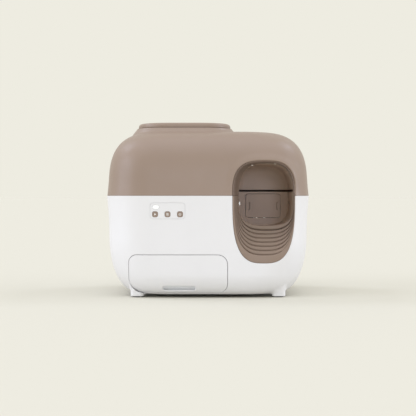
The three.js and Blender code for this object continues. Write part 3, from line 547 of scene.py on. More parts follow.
def lower_housing():
    skin = Skin()
    seam_s = to_s(SEAM - SEAM_GAP)
    theta = np.linspace(math.pi, 2 * math.pi, 241)
    arc = oval(DOOR, 0.0, theta)
    arc = arc[arc[:, 1] < SEAM - 1.2]
    left_x = DOOR["x"] - DOOR["half"] * (1 - ((SEAM - DOOR["z"]) / DOOR["up"]) ** 3) ** (1 / 3)
    right_x = 2 * DOOR["x"] - left_x
    arc = np.concatenate([[[left_x, SEAM - SEAM_GAP]], arc, [[right_x, SEAM - SEAM_GAP]]])
    notch = front_uv(resample(arc, 4.0, closed=False))
    left = np.array([(u, seam_s) for u in LS if u < notch[0, 0] - 6])
    right = np.array([(u, seam_s) for u in LS if u > notch[-1, 0] + 6] + [(AROUND, seam_s)])
    top = np.concatenate([left, notch, right])
    away = np.zeros_like(top)
    radius = np.full(len(top), 1.0)
    first, last = len(left), len(left) + len(notch) - 1
    away[:, 1] = -1.0
    away[first:last + 1] = away_from(notch, closed=False)
    if np.dot(away[first + 5], [1, 0]) > 0:
        away[first:last + 1] *= -1
    away[first] = (-1, -1)
    away[last] = (1, -1)
    away[0], away[-1] = (0, -1), (0, -1)
    side_s = np.concatenate([to_s(70 - 61 * np.sin(np.radians(np.arange(90, -1, -9)))),
                             np.arange(to_s(82), seam_s - 6, 11.5)])
    floor_edge = np.array([(u, 0.0) for u in LS] + [(AROUND, 0.0)])
    right_edge = np.array([(AROUND, s) for s in side_s[1:]])
    left_edge = np.array([(0.0, s) for s in side_s[1:]])[::-1]
    turns = np.linspace(0, 2 * math.pi, 25)[:-1]
    inlet = np.array([(INLET_X + INLET_R * math.cos(a), INLET_Z + INLET_R * math.sin(a)) for a in turns])
    holes_xz = [
        (outline(DRAWER, 0.0, 5.0), front_uv, 1.0),
        (outline(PANEL, 0.0, 3.0), front_uv, 0.5),
        (resample(inlet, 2.0), rear_uv, 0.8),
    ]
    for i in range(7):
        x = 138 + i * 13
        holes_xz.append((resample(rounded(x, 226, x + 5, 296, [2.4] * 4, 4), 3.0), rear_uv, 0.6))
    holes = []
    for path, mapper, r in holes_xz:
        uv = mapper(path)
        area = np.sum(uv[:, 0] * np.roll(uv[:, 1], -1) - uv[:, 1] * np.roll(uv[:, 0], -1))
        if area < 0:
            uv = uv[::-1]
        holes.append((uv, away_from(uv), r))
    lattice = np.array([(u, s) for s in side_s for u in LS])
    rings = []
    for k in (5.0, 11.0, 18.0):
        ring = oval(DOOR, -k, np.linspace(math.pi, 2 * math.pi, 60))
        rings.append(front_uv(resample(ring, 8.0, closed=False)))
    extra = np.concatenate([lattice] + rings)
    for depth, scale in ((0.0, 1.0), (WALL, 0.0)):
        edge = top + away * (radius * scale)[:, None]
        outer = np.concatenate([floor_edge, right_edge, edge[::-1], left_edge])
        cut = [uv + a * r * scale for uv, a, r in holes]
        panel_skin(skin, base_surface, outer, cut, extra, depth, gap=3.2)
    rim(skin, base_surface, top, away, radius, WALL, closed=False)
    for uv, a, r in holes:
        rim(skin, base_surface, uv, a, r, WALL)
    # Underside with the opening for the service plate
    for depth in (0.0, WALL):
        n = base_surface.normal(floor_edge[:-1])
        ring = base_surface.raw(floor_edge[:-1]) - n * depth
        half_x, half_y = SERVICE_HALF_X, SERVICE_HALF_Y
        opening = resample(rounded(-half_x, -half_y, half_x, half_y, [6] * 4, 3), 12.0)
        spread = [(x, y) for x in range(-240, 241, 24) for y in range(-200, 201, 24)]
        uv, triangles = fill(ring[:, :2][::-1], [opening], spread, 6.0)
        points = np.concatenate([uv, np.full((len(uv), 1), ring[0, 2])], axis=1)
        skin.triangles(points, (0, 0, 1.0 if depth else -1.0), triangles)
        if depth:
            wall_rows = np.array([[(x, y, z) for x, y in opening] for z in (BOTTOM, BOTTOM + WALL)])
            a = away_from(opening)
            skin.grid(wall_rows, np.array([[(-p[0], -p[1], 0) for p in a]] * 2), True)
    return skin.make("lower_housing_skin")


finish_piece(lower_housing(), "base", "white", "base_shell", slot="housing_white")


# ------------------------------------------------------------ hood

hood_plain = Surface(lambda u, s: body_point(u, to_z(s)), to_s(SEAM), S_TABLE[-1])


def lid_outline(half_x, half_y, corner, count=144, power=2 / 2.3):
    a = np.linspace(0, 2 * math.pi, 720, endpoint=False)
    c, s = np.cos(a), np.sin(a)
    x = np.sign(c) * (half_x - corner + corner * np.abs(c) ** power)
    y = np.sign(s) * (half_y - corner + corner * np.abs(s) ** power)
    ring = np.stack([LID_X + x, LID_Y + y], -1)
    even = resample(ring, 1.0)
    return even[np.linspace(0, len(even), count, endpoint=False).astype(int)]


def outside_lid(x, y, half_x=149.0, half_y=141.0, corner=105.0):
    """Signed distance, roughly, from the collar's top outline."""
    qx = np.abs(x - LID_X) - (half_x - corner)
    qy = np.abs(y - LID_Y) - (half_y - corner)
    px, py = np.maximum(qx, 0), np.maximum(qy, 0)
    return (px ** 2.3 + py ** 2.3) ** (1 / 2.3) + np.minimum(np.maximum(qx, qy), 0) - corner


def roof_height(x, y):
    """Top of the body's outer form over the plan."""
    low, high = np.full(x.shape, 420.0), np.full(x.shape, TOP)
    for _ in range(40):
        z = (low + high) / 2
        dx, dy = insets(z)
        r = PLAN_R - 0.175 * (dx + dy)
        qx = np.maximum(np.abs(x) - (HALF_W - dx - r), 0) / r
        qy = np.maximum(np.abs(y) - (HALF_D - dy - r), 0) / r
        within = qx ** PLAN_N + qy ** PLAN_N <= 1
        low, high = np.where(within, z, low), np.where(within, high, z)
    return low


def roof_top(x, y, collar=True):
    z = roof_height(x, y) - HOOD_INSET
    if collar:
        d = outside_lid(x, y)
        c = np.interp(d, [-60, -1.4, -0.4, 0.6, 3, 8, 13, 20, 40],
                      [LID_SEAT, LID_SEAT, 514.5, 513.4, 510, 504, 497, 484, 430])
        k = 9.0
        h = np.clip(0.5 + 0.5 * (c - z) / k, 0, 1)
        z = z * (1 - h) + c * h + k * h * (1 - h)
        z = np.where(d < 0.5, np.maximum(c, 0), z)
    return z


def roof_normal(x, y, collar=True):
    e = 0.5
    zx = (roof_top(x + e, y, collar) - roof_top(x - e, y, collar)) / (2 * e)
    zy = (roof_top(x, y + e, collar) - roof_top(x, y - e, collar)) / (2 * e)
    return unit(np.stack([-zx, -zy, np.ones_like(zx)], -1))


FILL_HOLE = (118.0, 100.0, 60.0)


def hood():
    skin = Skin()
    low_s, high_s = to_s(SEAM + SEAM_GAP), to_s(HOOD_SPLIT)
    arc = oval(DOOR, 0.0, np.linspace(0, math.pi, 241))
    arc = arc[arc[:, 1] > SEAM + 1.5]
    reach = DOOR["half"] * (1 - ((SEAM + SEAM_GAP - DOOR["z"]) / DOOR["up"]) ** 3) ** (1 / 3)
    ends = [[DOOR["x"] + reach, SEAM + SEAM_GAP]], [[DOOR["x"] - reach, SEAM + SEAM_GAP]]
    notch = front_uv(resample(np.concatenate([ends[0], arc, ends[1]]), 3.5, closed=False))[::-1]
    left = np.array([(0.0, low_s)] + [(u, low_s) for u in LS[1:] if u < notch[0, 0] - 6])
    right = np.array([(u, low_s) for u in LS if u > notch[-1, 0] + 6] + [(AROUND, low_s)])
    bottom = np.concatenate([left, notch, right])
    away = np.zeros_like(bottom)
    away[:, 1] = 1.0
    first, last = len(left), len(left) + len(notch) - 1
    normal_2d = away_from(notch, closed=False)
    if normal_2d[len(notch) // 2][1] < 0:
        normal_2d = -normal_2d
    away[first:last + 1] = normal_2d
    radius = np.full(len(bottom), 0.7)
    height = to_z(notch[:, 1])
    radius[first:last + 1] = 0.8 + 2.6 * np.clip((height - SEAM) / 26, 0, 1)
    away[first], away[last] = (-1, 1), (1, 1)
    wall_s = np.arange(low_s + 7, high_s - 6, 8.5)
    lattice = np.array([(u, s) for s in wall_s for u in LS])
    rings = [lattice]
    for k in (2.0, 4.5, 7.5, 11.0, 15.0, 19.5, 24.5):
        ring = oval(DOOR, -k - 2.6, np.linspace(0, math.pi, 120))
        rings.append(front_uv(resample(ring[ring[:, 1] > SEAM + 4], 4.5, closed=False)))
    extra = np.concatenate(rings)
    top = np.array([(u, high_s) for u in LS] + [(AROUND, high_s)])
    right_side = np.array([(AROUND, s) for s in wall_s])
    left_side = np.array([(0.0, s) for s in wall_s])[::-1]
    for surface, depth, scale in ((hood_surface, 0.0, 1.0), (hood_plain, WALL + HOOD_INSET, 0.0)):
        edge = bottom + away * (radius * scale)[:, None]
        outer = np.concatenate([edge, right_side, top[::-1], left_side])
        panel_skin(skin, surface, outer, [], extra, depth, gap=2.2)
    rim(skin, hood_surface, bottom, away, radius, WALL + HOOD_INSET, closed=False, inner=hood_plain)
    # Roof: outside with the collar, inside plain
    ring_uv = top[:-1]
    hole = lid_outline(*FILL_HOLE, count=110)
    hole_away = away_from(hole)
    steps = [(x, y) for x in np.arange(-300, 301, 9.0) for y in np.arange(-235, 236, 9.0)]
    out = (-4, -1.6, -0.6, 0.4, 1.6, 3.4, 6, 9, 12.5, 16, 20)
    bands = [lid_outline(149 + d, 141 + d, 105 + d, 190) for d in out]
    for collar in (True, False):
        surface, depth = (hood_surface, 0.0) if collar else (hood_plain, WALL + HOOD_INSET)
        n = surface.normal(ring_uv)
        ring = surface.raw(ring_uv) - n * depth
        hole_edge = hole + hole_away * (2.0 if collar else 0.0)
        if collar:
            far = [p for band in bands for p in band]
            grid = [p for p in steps if abs(outside_lid(*np.array(p)[:, None])[0] - 7) > 14]
            extra_xy = far + grid
        else:
            extra_xy = steps
        uv, triangles = fill(ring[:, :2][::-1], [hole_edge], extra_xy, 1.2 if collar else 4.0)
        x, y = uv[:, 0], uv[:, 1]
        if collar:
            z, normal = roof_top(x, y), roof_normal(x, y)
            points = np.stack([x, y, z], -1)
        else:
            normal = roof_normal(x, y, False)
            points = np.stack([x, y, roof_top(x, y, False) - WALL / np.maximum(normal[:, 2], 0.35)], -1)
            normal = -normal
        count = len(ring)
        points[:count] = ring[::-1]
        normal[:count] = (n if collar else -n)[::-1]
        skin.triangles(points, normal, triangles)
    rows, norms = [], []
    for phi in ROUND:
        offset = hole + hole_away * (2.0 * (1 - math.sin(phi)))
        rows.append([(x, y, LID_SEAT - 2.0 * (1 - math.cos(phi))) for x, y in offset])
        norms.append([(-a[0] * math.sin(phi), -a[1] * math.sin(phi), math.cos(phi)) for a in hole_away])
    low = roof_top(hole[:, 0], hole[:, 1], False) - WALL
    rows.append(np.column_stack([hole, low]))
    norms.append(norms[-1])
    skin.grid(np.array(rows), np.array(norms), True)
    return skin.make("hood_skin")


finish_piece(hood(), "hood", "taupe", "hood_shell", slot="hood_taupe")


# ------------------------------------------------------------ lid

def smooth_normals(points, closed=False):
    """Normals of a grid of points from its differences. Rows of the grid run along the first index."""
    if closed:
        across = np.roll(points, -1, 1) - np.roll(points, 1, 1)
    else:
        across = np.gradient(points, axis=1)
    along = np.gradient(points, axis=0)
    return unit(np.cross(along, across))


def lid():
    skin = Skin()
    profile = [(515.4, 6.0, 0, -1), (515.4, 2.2, 0, -1), (515.7, 0.9, .5, -.8), (516.6, 0.1, .95, -.3),
               (518.0, 0.0, 1, 0), (521.5, 0.3, .99, .1), (524.6, 1.3, .9, .42), (527.0, 2.9, .74, .67),
               (528.8, 5.2, .52, .85), (529.9, 8.4, .27, .96), (530.35, 13.0, .1, .995), (530.4, 22.0, 0, 1)]
    rows, norms = [], []
    for z, inset, nr, nz in profile:
        ring = lid_outline(145 - inset, 137 - inset, 105 - inset)
        out = away_from(ring)
        rows.append(np.column_stack([ring, np.full(len(ring), z)]))
        norms.append(np.column_stack([out * nr, np.full(len(ring), nz)]))
    skin.grid(np.array(rows), np.array(norms), True)
    for row, z in ((rows[-1], 1.0), (rows[0], -1.0)):
        centre = np.array([LID_X, LID_Y, row[0][2]])
        extra = [np.asarray(row)]
        for f in (0.8, 0.55, 0.3, 0.1):
            extra.append(centre + (np.asarray(row) - centre) * f)
        skin.grid(np.array(extra), np.broadcast_to((0, 0, z), np.array(extra).shape), True)
        skin.cap(extra[-1], (0, 0, z))
    return skin.make("lid_slab")


finish_piece(lid(), "lid", "taupe", "top_lid", slot="hood_taupe")


# ------------------------------------------------------------ doorway, steps and passage

def mixed(a, b, f):
    return {k: a[k] + (b[k] - a[k]) * f for k in ("x", "z", "half", "up", "down")}


def section(o, inset, upper, first, last, count):
    """Part of an oval, evenly spaced: over the top from right to left, or under from left to right."""
    low, high = (-0.6, math.pi + 0.6) if upper else (math.pi - 1.1, 2 * math.pi + 1.1)
    p = oval(o, inset, np.linspace(low, high, 1600))
    z = p[:, 1]
    sign = 1.0 if upper else -1.0
    middle = len(p) // 2
    i = np.nonzero(sign * z[:middle] < sign * first)[0]
    j = np.nonzero(sign * z[middle:] < sign * last)[0]
    a = i[-1] + 1 if len(i) else 0
    b = middle + j[0] if len(j) else len(p)
    p = p[a:b]
    p[0, 1], p[-1, 1] = first, last
    s = np.concatenate([[0.0], np.cumsum(np.linalg.norm(np.diff(p, axis=0), axis=1))])
    at = np.linspace(0, s[-1], count)
    return np.stack([np.interp(at, s, p[:, 0]), np.interp(at, s, p[:, 1])], -1)


def body_front(x, z):
    along = find_along(x, z, BREAKS[3], BREAKS[6])
    return body_point(along, z)[..., 1]


def step_oval(q):
    f = min(1.0, (q + 1) / 7.0)
    o = mixed(DOOR, INNER, f)
    edge = 2.8 * (1 - q / 8.0)
    level = 127.7 + 12 * q if q < 6 else 199.7 + (q - 6) * 15.3
    return dict(x=o["x"], z=o["z"], half=o["half"] - edge, up=o["up"] - edge, down=o["z"] - level)


# One step, from tread to tread: depth into the passage, and the part of the rise
STEP_PROFILE = [(-4.2, 0.0), (-2.0, -0.005), (-0.9, -0.03), (0.2, -0.05), (1.5, -0.02), (2.0, 0.07),
                (1.7, 0.16), (0.6, 0.2), (0.05, 0.26), (0.0, 0.4), (0.0, 0.62), (0.35, 0.79), (1.2, 0.91),
                (2.7, 0.98), (4.6, 1.0)]
# The inner end of the steps: distance along the passage, and how far it has dropped
SILL_PROFILE = [(-166.0, 0.0), (-162.4, 0.0), (-160.4, 0.6), (-159.6, 2.2), (-159.5, 6.0)]


def entry_steps():
    """Rows of points from the doorway's edge, over the steps, to the passage."""
    count = 121
    rows = []
    seam = SEAM - SEAM_GAP

    def add(o, inset, y, depth):
        p = section(o, inset, False, seam, seam, count)
        face = body_front(p[:, 0], p[:, 1]) + depth
        rows.append(np.column_stack([p[:, 0], np.maximum(y, face), p[:, 1]]))

    for inset, depth in ((0.6, 5.5), (0.6, 3.0), (0.8, 2.2), (1.3, 1.6), (2.0, 1.35)):
        add(DOOR, inset, -400, depth)
    first = step_oval(0)
    for f, depth in ((0.25, 1.2), (0.5, 1.2), (0.75, 1.3), (0.9, 1.7), (0.97, 2.4), (1.0, 3.6)):
        add(mixed(DOOR, first, f), 2.0 * (1 - f), -400, depth)
    for k in range(7):
        for dy, dq in STEP_PROFILE:
            add(step_oval(min(k + dq, 7.0)), 0.0, -240 + 11 * k + dy, 3.6)
    for y, drop in SILL_PROFILE:
        o = step_oval(7.0)
        o["down"] += drop
        o["half"] += drop * 0.5
        add(o, 0.0, y, 3.6)
    return np.array(rows)


def trough(name, front):
    """A closed piece from the rows of its upper surface."""
    normals = smooth_normals(front)
    toward = np.array([177.0, -700.0, 300.0])
    if np.sum(normals * (toward - front)) < 0:
        normals = -normals
    skin = Skin()
    skin.grid(front, normals)
    back, back_rows = [], sorted({0, len(front) - 1, *range(4, len(front) - 2, 12)})
    for r in back_rows:
        row = front[r]
        y = row[:, 1]
        centre = np.array([INNER["x"], 0, 285.0])
        out = row - centre
        out[:, 1] = 0
        out = unit(out)
        shift = 0.0 if r in (0, len(front) - 1) else 4.0
        back.append(row + out * shift + np.array([0, 5.0 if 0 < r < len(front) - 1 else 0, 0]))
    back = np.array(back)
    back_n = -smooth_normals(back)
    if np.sum(back_n * (toward - back)) > 0:
        back_n = -back_n
    skin.grid(back, back_n)
    for side in (0, -1):
        for a in range(len(back_rows) - 1):
            lo, hi = back_rows[a], back_rows[a + 1]
            ring = [front[r, side] for r in range(lo, hi + 1)] + [back[a + 1, side], back[a, side]]
            skin.cap(np.array(ring), (0, 0, 1))
    return skin.make(name)


step_rows = entry_steps()
sill_from = len(step_rows) - len(SILL_PROFILE) - 10
for key, part in (("entry_steps", step_rows[:sill_from]), ("entry_sill", step_rows[sill_from:])):
    finish_piece(trough(key + "_skin", part), "base", "step", key, slot="steps_taupe")


def ease(a, b, v):
    t = np.clip((v - a) / (b - a), 0, 1)
    return t * t * (3 - 2 * t)


def mouth_reach(y):
    """Half the height of the hole to the drum at a distance along the passage, or 0 beside it."""
    inside_hole = MOUTH_R ** 2 - ((y - MOUTH_Y) * (1.3 if y > MOUTH_Y else 1.0)) ** 2
    return math.sqrt(inside_hole) if inside_hole > 0 else 0.0


def lining(upper):
    """The passage's lining: over the seam it rides the hood, below it the housing."""
    count = 101
    rows = []

    def limits(y):
        f = ease(-155, -125, y)
        reach = mouth_reach(y)
        if upper:
            plain = SEAM + SEAM_GAP + (324.5 - SEAM - SEAM_GAP) * f
            return plain, max(plain, min(MOUTH_Z + reach, 381.0) if reach else 0)
        plain = SEAM - SEAM_GAP + (318 - SEAM + SEAM_GAP) * f
        return min(plain, MOUTH_Z - reach if reach else 999), plain

    def add(o, inset, y, depth=None):
        first, last = limits(-155.0 if y is None else y)
        p = section(o, inset, upper, first, last, count)
        if depth is None:
            rows.append(at_y(p, y))
        else:
            face = body_front(p[:, 0], p[:, 1]) + depth
            rows.append(np.column_stack([p[:, 0], np.maximum(-400.0 if y is None else y, face), p[:, 1]]))

    lip = ((0.6, 6.0), (0.6, 3.4), (0.75, 2.6), (1.2, 2.0), (2.0, 1.8), (2.8, 2.1), (3.4, 3.2))
    if upper:
        for inset, depth in lip:
            add(DOOR, inset, None, depth)
        for f in (0.06, 0.2, 0.4, 0.6, 0.8, 0.93, 0.985):
            add(mixed(DOOR, INNER, f), 3.4 * (1 - f), -243 + 65 * f, 4.0)
        add(INNER, 0.0, -176.6, 5.0)
        add(INNER, -0.15, -174.5)
        ys = list(np.arange(-168, -108, 8.0))
    else:
        ys = [-159.0] + list(np.arange(-153, -108, 8.0))
    ys += list(np.linspace(-104.9, 74.9, 46))
    fillet = 24.0 if upper else 3.0
    for y in ys:
        if y < LINING_FRONT - fillet - 1.0:
            add(INNER, 0.0, float(y))
    for a in np.radians([0, 15, 30, 45, 60, 75, 90]):
        add(INNER, fillet * (1 - math.cos(a)), LINING_FRONT - fillet + fillet * math.sin(a))
    tunnel = np.array(rows)
    normals = smooth_normals(tunnel)
    toward = np.array([177.0, -40.0, 300.0])
    middle = len(tunnel) // 2
    if np.dot(normals[middle, count // 2], toward - tunnel[middle, count // 2]) < 0:
        normals = -normals
    normals[-1] = (0, -1, 0)
    skin = Skin()
    skin.grid(tunnel, normals)
    outside = tunnel - normals * 2.8
    if upper:
        shift = tunnel[6] - tunnel[0] - normals[6] * 2.8
        outside[:7] = tunnel[:7] + np.linspace(0, 1, 7)[:, None, None] * shift
    skin.grid(outside, -normals)
    seam_facing = (0, 0, -1.0 if upper else 1.0)
    for side in (0, -1):
        strip = np.stack([tunnel[:, side], outside[:, side]])
        skin.grid(strip, np.broadcast_to(seam_facing, strip.shape))
    if not upper:
        strip = np.stack([tunnel[0], outside[0]])
        skin.grid(strip, np.broadcast_to((0, -1.0, 0), strip.shape))
    # Back wall
    last = tunnel[-1][:, [0, 2]]
    holes = []
    if not upper:
        holes.append(resample(rounded(122.2, 232.7, 236.8, 311.8, [8.8] * 4), 4.0))
    spread = [(x, z) for x in range(90, 266, 8) for z in range(206, 406, 8)]
    for y, facing in ((LINING_FRONT, -1.0), (LINING_BACK, 1.0)):
        uv, triangles = fill(last, holes, spread, 3.0)
        skin.triangles(at_y(uv, y), (0, facing, 0), triangles)
    closing = np.stack([at_y(last[[0, -1]], y) for y in (LINING_FRONT, LINING_BACK)])
    skin.grid(closing, np.broadcast_to(seam_facing, closing.shape))
    for hole in holes:
        wall = np.array([at_y(hole, y) for y in (LINING_FRONT, LINING_BACK)])
        skin.grid(wall, np.array([upright(-away_from(hole))] * 2), True)
    return skin.make("passage_hood_lining" if upper else "passage_base_lining")


finish_piece(lining(True), "hood", "dark", "passage_hood_liner", slot="passage_taupe")
finish_piece(lining(False), "base", "dark", "passage_base", slot="passage_taupe")


# ------------------------------------------------------------ drawer front, control panel and buttons

def patch(name, outer_xz, holes, radius, spacing, wall=WALL):
    """A piece of the housing's outer wall, cut to an outline, with rounded edges."""
    skin = Skin()
    loops = [(front_uv(path), r, False) for path, r in [(outer_xz, radius)]]
    loops += [(front_uv(path), r, True) for path, r in holes]
    edges = []
    for uv, r, is_hole in loops:
        a = away_from(uv)
        edges.append((uv, a if is_hole else -a, r))
    low, high = loops[0][0].min(0), loops[0][0].max(0)
    across, up = (np.arange(low[k], high[k], spacing) for k in (0, 1))
    extra = np.array([(u, s) for u in across for s in up])
    for depth, scale in ((0.0, 1.0), (wall, 0.0)):
        cut = [uv + a * r * scale for uv, a, r in edges]
        panel_skin(skin, base_surface, cut[0], cut[1:], extra, depth, gap=2.0)
    for uv, a, r in edges:
        rim(skin, base_surface, uv, a, r, wall)
    return skin.make(name)


pull_hole = pill(PULL, 0.0, 2.0)
finish_piece(patch("drawer_front_skin", outline(DRAWER, 1.2, 4.0), [(pull_hole, 1.6)], 1.3, 9.0),
             "drawer", "white", "drawer_front", slot="drawer_white")
button_holes = []
for x in BUTTON_XS:
    half = BUTTON / 2 + 0.35
    square = rounded(x - half, BUTTON_Z - half, x + half, BUTTON_Z + half, [6.0] * 4)
    button_holes.append((resample(square, 1.6), 0.45))
button_holes.append((pill(LIGHT, -0.3, 1.6), 0.35))
finish_piece(patch("control_panel_skin", outline(PANEL, 0.35, 2.5), button_holes, 0.5, 6.0),
             "base", "white", "control_panel", slot="control_panel_white")
finish_piece(patch("status_light_lens", pill(LIGHT, 0.1, 1.4), [], 0.4, 3.0),
             "base", "lens", "status_light", slot="light_lens")


def dish(x, z, cx):
    """Depth of a button's dished face under the housing's outer form."""
    away = np.clip(np.hypot(x - cx, z - BUTTON_Z) / 8.0, 0, 1)
    return 0.35 + 0.5 * (1 - away ** 2)


def button_cap(name, cx):
    skin = Skin()
    half = BUTTON / 2
    edge = resample(rounded(cx - half, BUTTON_Z - half, cx + half, BUTTON_Z + half, [5.6] * 4), 1.3)
    centre = np.array([cx, BUTTON_Z])
    rows, norms = [], []
    edge_profile = ((0.0, 5.5, 90), (0.0, 0.9, 90), (0.15, 0.35, 60), (0.45, 0.1, 30), (0.9, 0.0, 8))
    for inset, extra_depth, tilt in edge_profile:
        f = 1 - inset / half
        path = centre + (edge - centre) * f
        uv = front_uv(path)
        n = base_surface.normal(uv)
        side = upright(away_from(edge))
        t = math.radians(tilt)
        rows.append(base_surface.raw(uv) - n * (dish(path[:, 0], path[:, 1], cx) + extra_depth)[:, None])
        norms.append(n * math.cos(t) + side * math.sin(t))
    for f in (0.8, 0.65, 0.5, 0.35, 0.2, 0.08):
        path = centre + (edge - centre) * f
        uv = front_uv(path)
        n = base_surface.normal(uv)
        lean = (path - centre) / 8.0 * 0.12
        rows.append(base_surface.raw(uv) - n * dish(path[:, 0], path[:, 1], cx)[:, None])
        norms.append(unit(n - upright(lean)))
    skin.grid(np.array(rows), np.array(norms), True)
    skin.cap(rows[-1], norms[-1])
    skin.cap(rows[0], (0.0, 1.0, 0.0))
    return skin.make(name)


def printed_mark(name, cx, outlines):
    """A thin printed symbol on a button."""
    skin = Skin()
    for outer, holes in outlines:
        shape = np.array(outer) + (cx, BUTTON_Z)
        cut = [np.array(h) + (cx, BUTTON_Z) for h in holes]
        uv, triangles = fill(shape, cut, [], 0.1)
        for lift in (0.05, -0.1):
            where = front_uv(uv)
            n = base_surface.normal(where)
            depth = dish(uv[:, 0], uv[:, 1], cx) - lift
            skin.triangles(base_surface.raw(where) - n * depth[:, None], n if lift > 0 else -n, triangles)
    return skin.make(name)


def arc(radius, count, start, end):
    return [(radius * math.cos(a), radius * math.sin(a)) for a in np.linspace(start, end, count)]


def bar(x0, z0, x1, z1):
    return [tuple(p) for p in rounded(x0, z0, x1, z1, [0.4 * min(x1 - x0, z1 - z0)] * 4, 3)]


triangle = [(-2.1, -3.1), (3.2, 0.0), (-2.1, 3.1)]
levels = [(bar(-3.2, z, 3.2, z + 1.2), []) for z in (-3.2, -0.6, 2.0)]
gap = math.radians(38)
ring_outer = arc(3.6, 26, math.pi / 2 + gap, 5 * math.pi / 2 - gap)
ring_inner = arc(2.5, 26, math.pi / 2 + gap, 5 * math.pi / 2 - gap)[::-1]
power_mark = [(ring_outer + ring_inner, []), (bar(-0.55, 0.6, 0.55, 4.0), [])]
marks = {"clean": [(triangle, [])], "level": levels, "power": power_mark}
for x, (key, mark) in zip(BUTTON_XS, marks.items()):
    body = "button_" + key
    finish_piece(button_cap(key + "_button_cap", x), body, "button", key + "_button", slot="button_taupe")
    finish_piece(printed_mark(key + "_button_mark", x, mark), body, "mark")


# ------------------------------------------------------------ feet, finger cup, cartridge and sensors

def finger_cup():
    """The dished recess behind the drawer's finger slot."""
    skin = Skin()
    slot, wide = pill(PULL, 0.0, 1.6), pill(PULL, -2.9, 1.6)
    n = min(len(slot), len(wide))
    slot = slot[np.linspace(0, len(slot), n, endpoint=False).astype(int)]
    wide = wide[np.linspace(0, len(wide), n, endpoint=False).astype(int)]
    side = upright(away_from(slot))
    middle = np.array([PULL["x"], PULL["z"]])

    def at_depth(path, depth):
        uv = front_uv(path)
        return base_surface.raw(uv) - base_surface.normal(uv) * np.broadcast_to(depth, len(path))[:, None]

    facing = np.broadcast_to((0.0, -1.0, 0.0), (n, 3))
    rim = ((wide, 3.5), (wide, 3.5), (slot, 3.5), (slot, 3.6), (slot, 6.0))
    rows = [at_y(wide, -208.3)] + [at_depth(path, depth) for path, depth in rim]
    norms = [side, side, facing, facing, -side, -side]
    for f, tilt in ((0.93, 60), (0.8, 40), (0.55, 20), (0.3, 8), (0.06, 0)):
        path = middle + (slot - middle) * (1 - (1 - f) * np.array([[0.14, 1.0]]))
        drop = (middle[1] + PULL["radius"] - path[:, 1]) / (2 * PULL["radius"])
        rows.append(at_depth(path, 6.0 + 3.0 * (1 - f ** 2) + 0.6 * drop))
        t = math.radians(tilt)
        norms.append(facing * math.cos(t) - side * math.sin(t))
    skin.grid(np.array(rows), np.array(norms), True)
    skin.cap(rows[-1], (0, -1.0, 0))
    skin.cap(rows[0], (0, 1.0, 0))
    return skin.make("drawer_finger_cup_dish")


finish_piece(finger_cup(), "drawer", "cup", "drawer_finger_cup", slot="light_grey_plastic")


def lathe(skin, profile, centre, axis, count=48):
    """Turns (distance along the axis, radius, normal along, normal out) about an axis through centre."""
    a = np.linspace(0, 2 * math.pi, count, endpoint=False)
    along = np.array(axis, float)
    side = np.array([0.0, 0, 1]) if abs(along[2]) < 0.5 else np.array([1.0, 0, 0])
    other = np.cross(along, side)
    ring = np.cos(a)[:, None] * side + np.sin(a)[:, None] * other
    rows = [np.array(centre) + along * d + ring * max(r, 0.001) for d, r, _, _ in profile]
    norms = [along * nd + ring * nr for _, _, nd, nr in profile]
    skin.grid(np.array(rows), np.array(norms), True)
    for end in (0, -1):
        if profile[end][1] > 0.01:
            skin.cap(rows[end], along * (-1.0 if end == 0 else 1.0))


FOOT_X, FOOT_Y, FOOT_HALF, FOOT_FLARE = 213.0, 193.0, 20.0, 15
DRAWER_CORNER_X, DRAWER_CORNER_Z, DRAWER_CORNER_R = 193.0, 58.0, 45.0


def underside(x, y):
    """Height of the housing's underside over a point near a corner."""
    z = np.linspace(BOTTOM + 0.2, 110.0, 300)
    dx, dy = insets(z)
    r = PLAN_R - 0.175 * (dx + dy)
    gx = np.maximum(abs(x)[:, None] - (HALF_W - dx - r), 0) / r
    gy = np.maximum(abs(y)[:, None] - (HALF_D - dy - r), 0) / r
    within = gx ** PLAN_N + gy ** PLAN_N < 1
    return z[np.where(within.any(1), within.argmax(1), len(z) - 1)]


def below_drawer(x):
    """Height of the drawer's rounded lower corner, less a gap, over a point of the front left foot."""
    across = np.clip(x + DRAWER_CORNER_X, -DRAWER_CORNER_R, 0.0)
    return DRAWER_CORNER_Z - np.sqrt(DRAWER_CORNER_R ** 2 - across ** 2)


